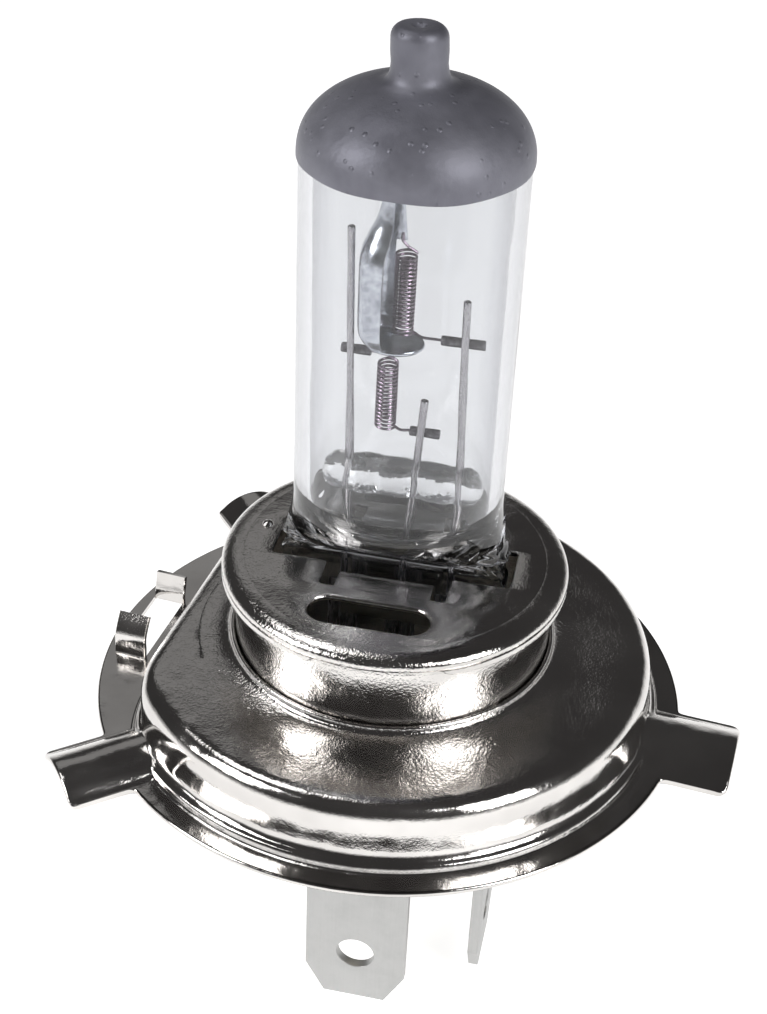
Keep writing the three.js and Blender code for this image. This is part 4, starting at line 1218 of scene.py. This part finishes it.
blade_half, blade_thickness, shoulder_z = 4.0, 0.8, -12.8
chamfer_across, chamfer_along = 1.55, 2.9
hole_radius, hole_from_end = 1.5, 4.85
root_thickness, root_top_z, tang_half, tang_top_z = 0.6, -5.0, 1.5, -2.6
for name, (x, y, across), bottom in zip(
    ("front", "back", "cross"), blade_slots, (-27.6, -27.6, -26.1)
):
    outline = filleted([
        [-blade_half, bottom + chamfer_along], [-blade_half + chamfer_across, bottom],
        [blade_half - chamfer_across, bottom], [blade_half, bottom + chamfer_along],
        [blade_half, shoulder_z], [-blade_half, shoulder_z],
    ], 0.12, steps=3)
    latch_hole = [
        [hole_radius * math.cos(a), bottom + hole_from_end + hole_radius * math.sin(a)]
        for a in np.linspace(0, 2 * math.pi, 48, endpoint=False)
    ]
    root = filleted([
        [-blade_half, shoulder_z - 0.5], [blade_half, shoulder_z - 0.5],
        [blade_half, root_top_z], [tang_half, root_top_z], [tang_half, tang_top_z],
        [-tang_half, tang_top_z], [-tang_half, root_top_z], [-blade_half, root_top_z],
    ], 0.12, steps=3)
    parts = []
    for outlines, thickness in (([outline, latch_hole], blade_thickness), ([root], root_thickness)):
        flat, faces = flat_plate(outlines, thickness / 2, 0.07)
        if across:
            placed = np.column_stack([x + flat[:, 2], y + flat[:, 0], flat[:, 1]])
        else:
            placed = np.column_stack([x + flat[:, 0], y - flat[:, 2], flat[:, 1]])
        parts.append((placed, faces))
    vertices, faces = joined(parts)
    make_piece(f"blade_{name}", vertices, faces, tin, [f"terminal_{name}"])

# ---- Lead wires ------------------------------------------------------------------------------
# Three molybdenum wires, 0.8 mm thick, that leave the bottom of the pinch, bend outwards inside
# the shell and are welded to the tangs of the blades.

lead_radius, lead_steps = 0.4, 40
lead_ends = {"front": (-3.55, -0.45, -5.2), "back": (0.7, -0.45, 5.2), "cross": (4.15, 7.5, 0.0)}
for name, (from_x, to_x, to_y) in lead_ends.items():
    line = smooth_line([
        [from_x, 0, 4.5], [from_x, 0, 2.7], [from_x, 0, 1.6], [(from_x + to_x) / 2, to_y / 2, 0],
        [to_x, to_y, -1.4], [to_x, to_y, -2.4], [to_x, to_y, -4.6],
    ], lead_steps)
    radii = [lead_radius - 0.03, *[lead_radius] * (lead_steps - 2), lead_radius - 0.03]
    vertices, faces = sweep(line, radii, 18)
    make_piece(f"lead_{name}", vertices, faces, molybdenum, [f"lead_wire_{name}"])

# ---- Studio ----------------------------------------------------------------------------------
# A plain white floor that the blades stand on, and large soft lamps.

floor_z = cad_box[0][2]
reach = 3.0
floor_mesh = bpy.data.meshes.new("floor")
floor_mesh.from_pydata(
    [[-reach, -reach, floor_z], [reach, -reach, floor_z], [reach, reach, floor_z],
     [-reach, reach, floor_z]], [], [[0, 1, 2, 3]],
)
floor = bpy.data.objects.new("floor", floor_mesh)
bpy.context.scene.collection.objects.link(floor)
paper, tree, _ = start_material("white_paper_floor")
shader = add_node(
    tree, "ShaderNodeBsdfPrincipled",
    {"Base Color": linear("e6e6e6"), "Roughness": 0.9, "Emission Color": linear("ffffff"),
     "Emission Strength": 0.72},
)
add_node(tree, "ShaderNodeOutputMaterial", {"Surface": shader.outputs["BSDF"]})
floor_mesh.materials.append(paper)

world = bpy.data.worlds.new("studio")
bpy.context.scene.world = world
world.use_nodes = True
world.node_tree.nodes.clear()
direction = add_node(world.node_tree, "ShaderNodeTexCoord").outputs["Generated"]
height = add_node(world.node_tree, "ShaderNodeSeparateXYZ", {"Vector": direction}).outputs["Z"]
room = add_node(
    world.node_tree, "ShaderNodeValToRGB", {"Fac": height},
    stops=((0.01, "dcdcdc"), (0.2, "3c3b3b")),
)
background = add_node(
    world.node_tree, "ShaderNodeBackground", {"Color": room.outputs["Color"], "Strength": 1.0}
)
add_node(world.node_tree, "ShaderNodeOutputWorld", {"Surface": background.outputs["Background"]})


def softbox(name, azimuth, elevation, distance, width, height, power):
    """A rectangular lamp that faces the bulb. Azimuth 0 is on the -Y side and 90 on the +X side."""
    lamp = bpy.data.lights.new(name, "AREA")
    lamp.shape = "RECTANGLE"
    lamp.size, lamp.size_y = width, height
    lamp.energy = power
    a, e = math.radians(azimuth), math.radians(elevation)
    holder = bpy.data.objects.new(name, lamp)
    holder.location = (
        distance * math.sin(a) * math.cos(e), -distance * math.cos(a) * math.cos(e),
        distance * math.sin(e),
    )
    holder.rotation_euler = (math.pi / 2 - e, 0, a)
    bpy.context.scene.collection.objects.link(holder)


softbox("left_softbox", -58, 36, 0.5, 0.2, 0.3, 1.35)
softbox("right_softbox", 60, 34, 0.5, 0.2, 0.34, 1.5)
softbox("top_softbox", -112, 66, 0.6, 0.2, 0.2, 0.4)
softbox("back_card", -158, 36, 0.6, 0.24, 0.2, 0.035)

# ---- Camera ----------------------------------------------------------------------------------
# Close above the bulb, with the front terminal towards it.

lens = bpy.data.cameras.new("camera")
lens.sensor_width = 36
lens.lens = 62.387
lens.clip_start = 0.005
camera = bpy.data.objects.new("camera", lens)
camera.location = (0.017586, -0.099736, 0.08405)
camera.rotation_euler = [math.radians(a) for a in (55.8668, -2.1646, 12.0378)]
bpy.context.scene.collection.objects.link(camera)
bpy.context.scene.camera = camera
bpy.context.scene.view_settings.view_transform = "Standard"
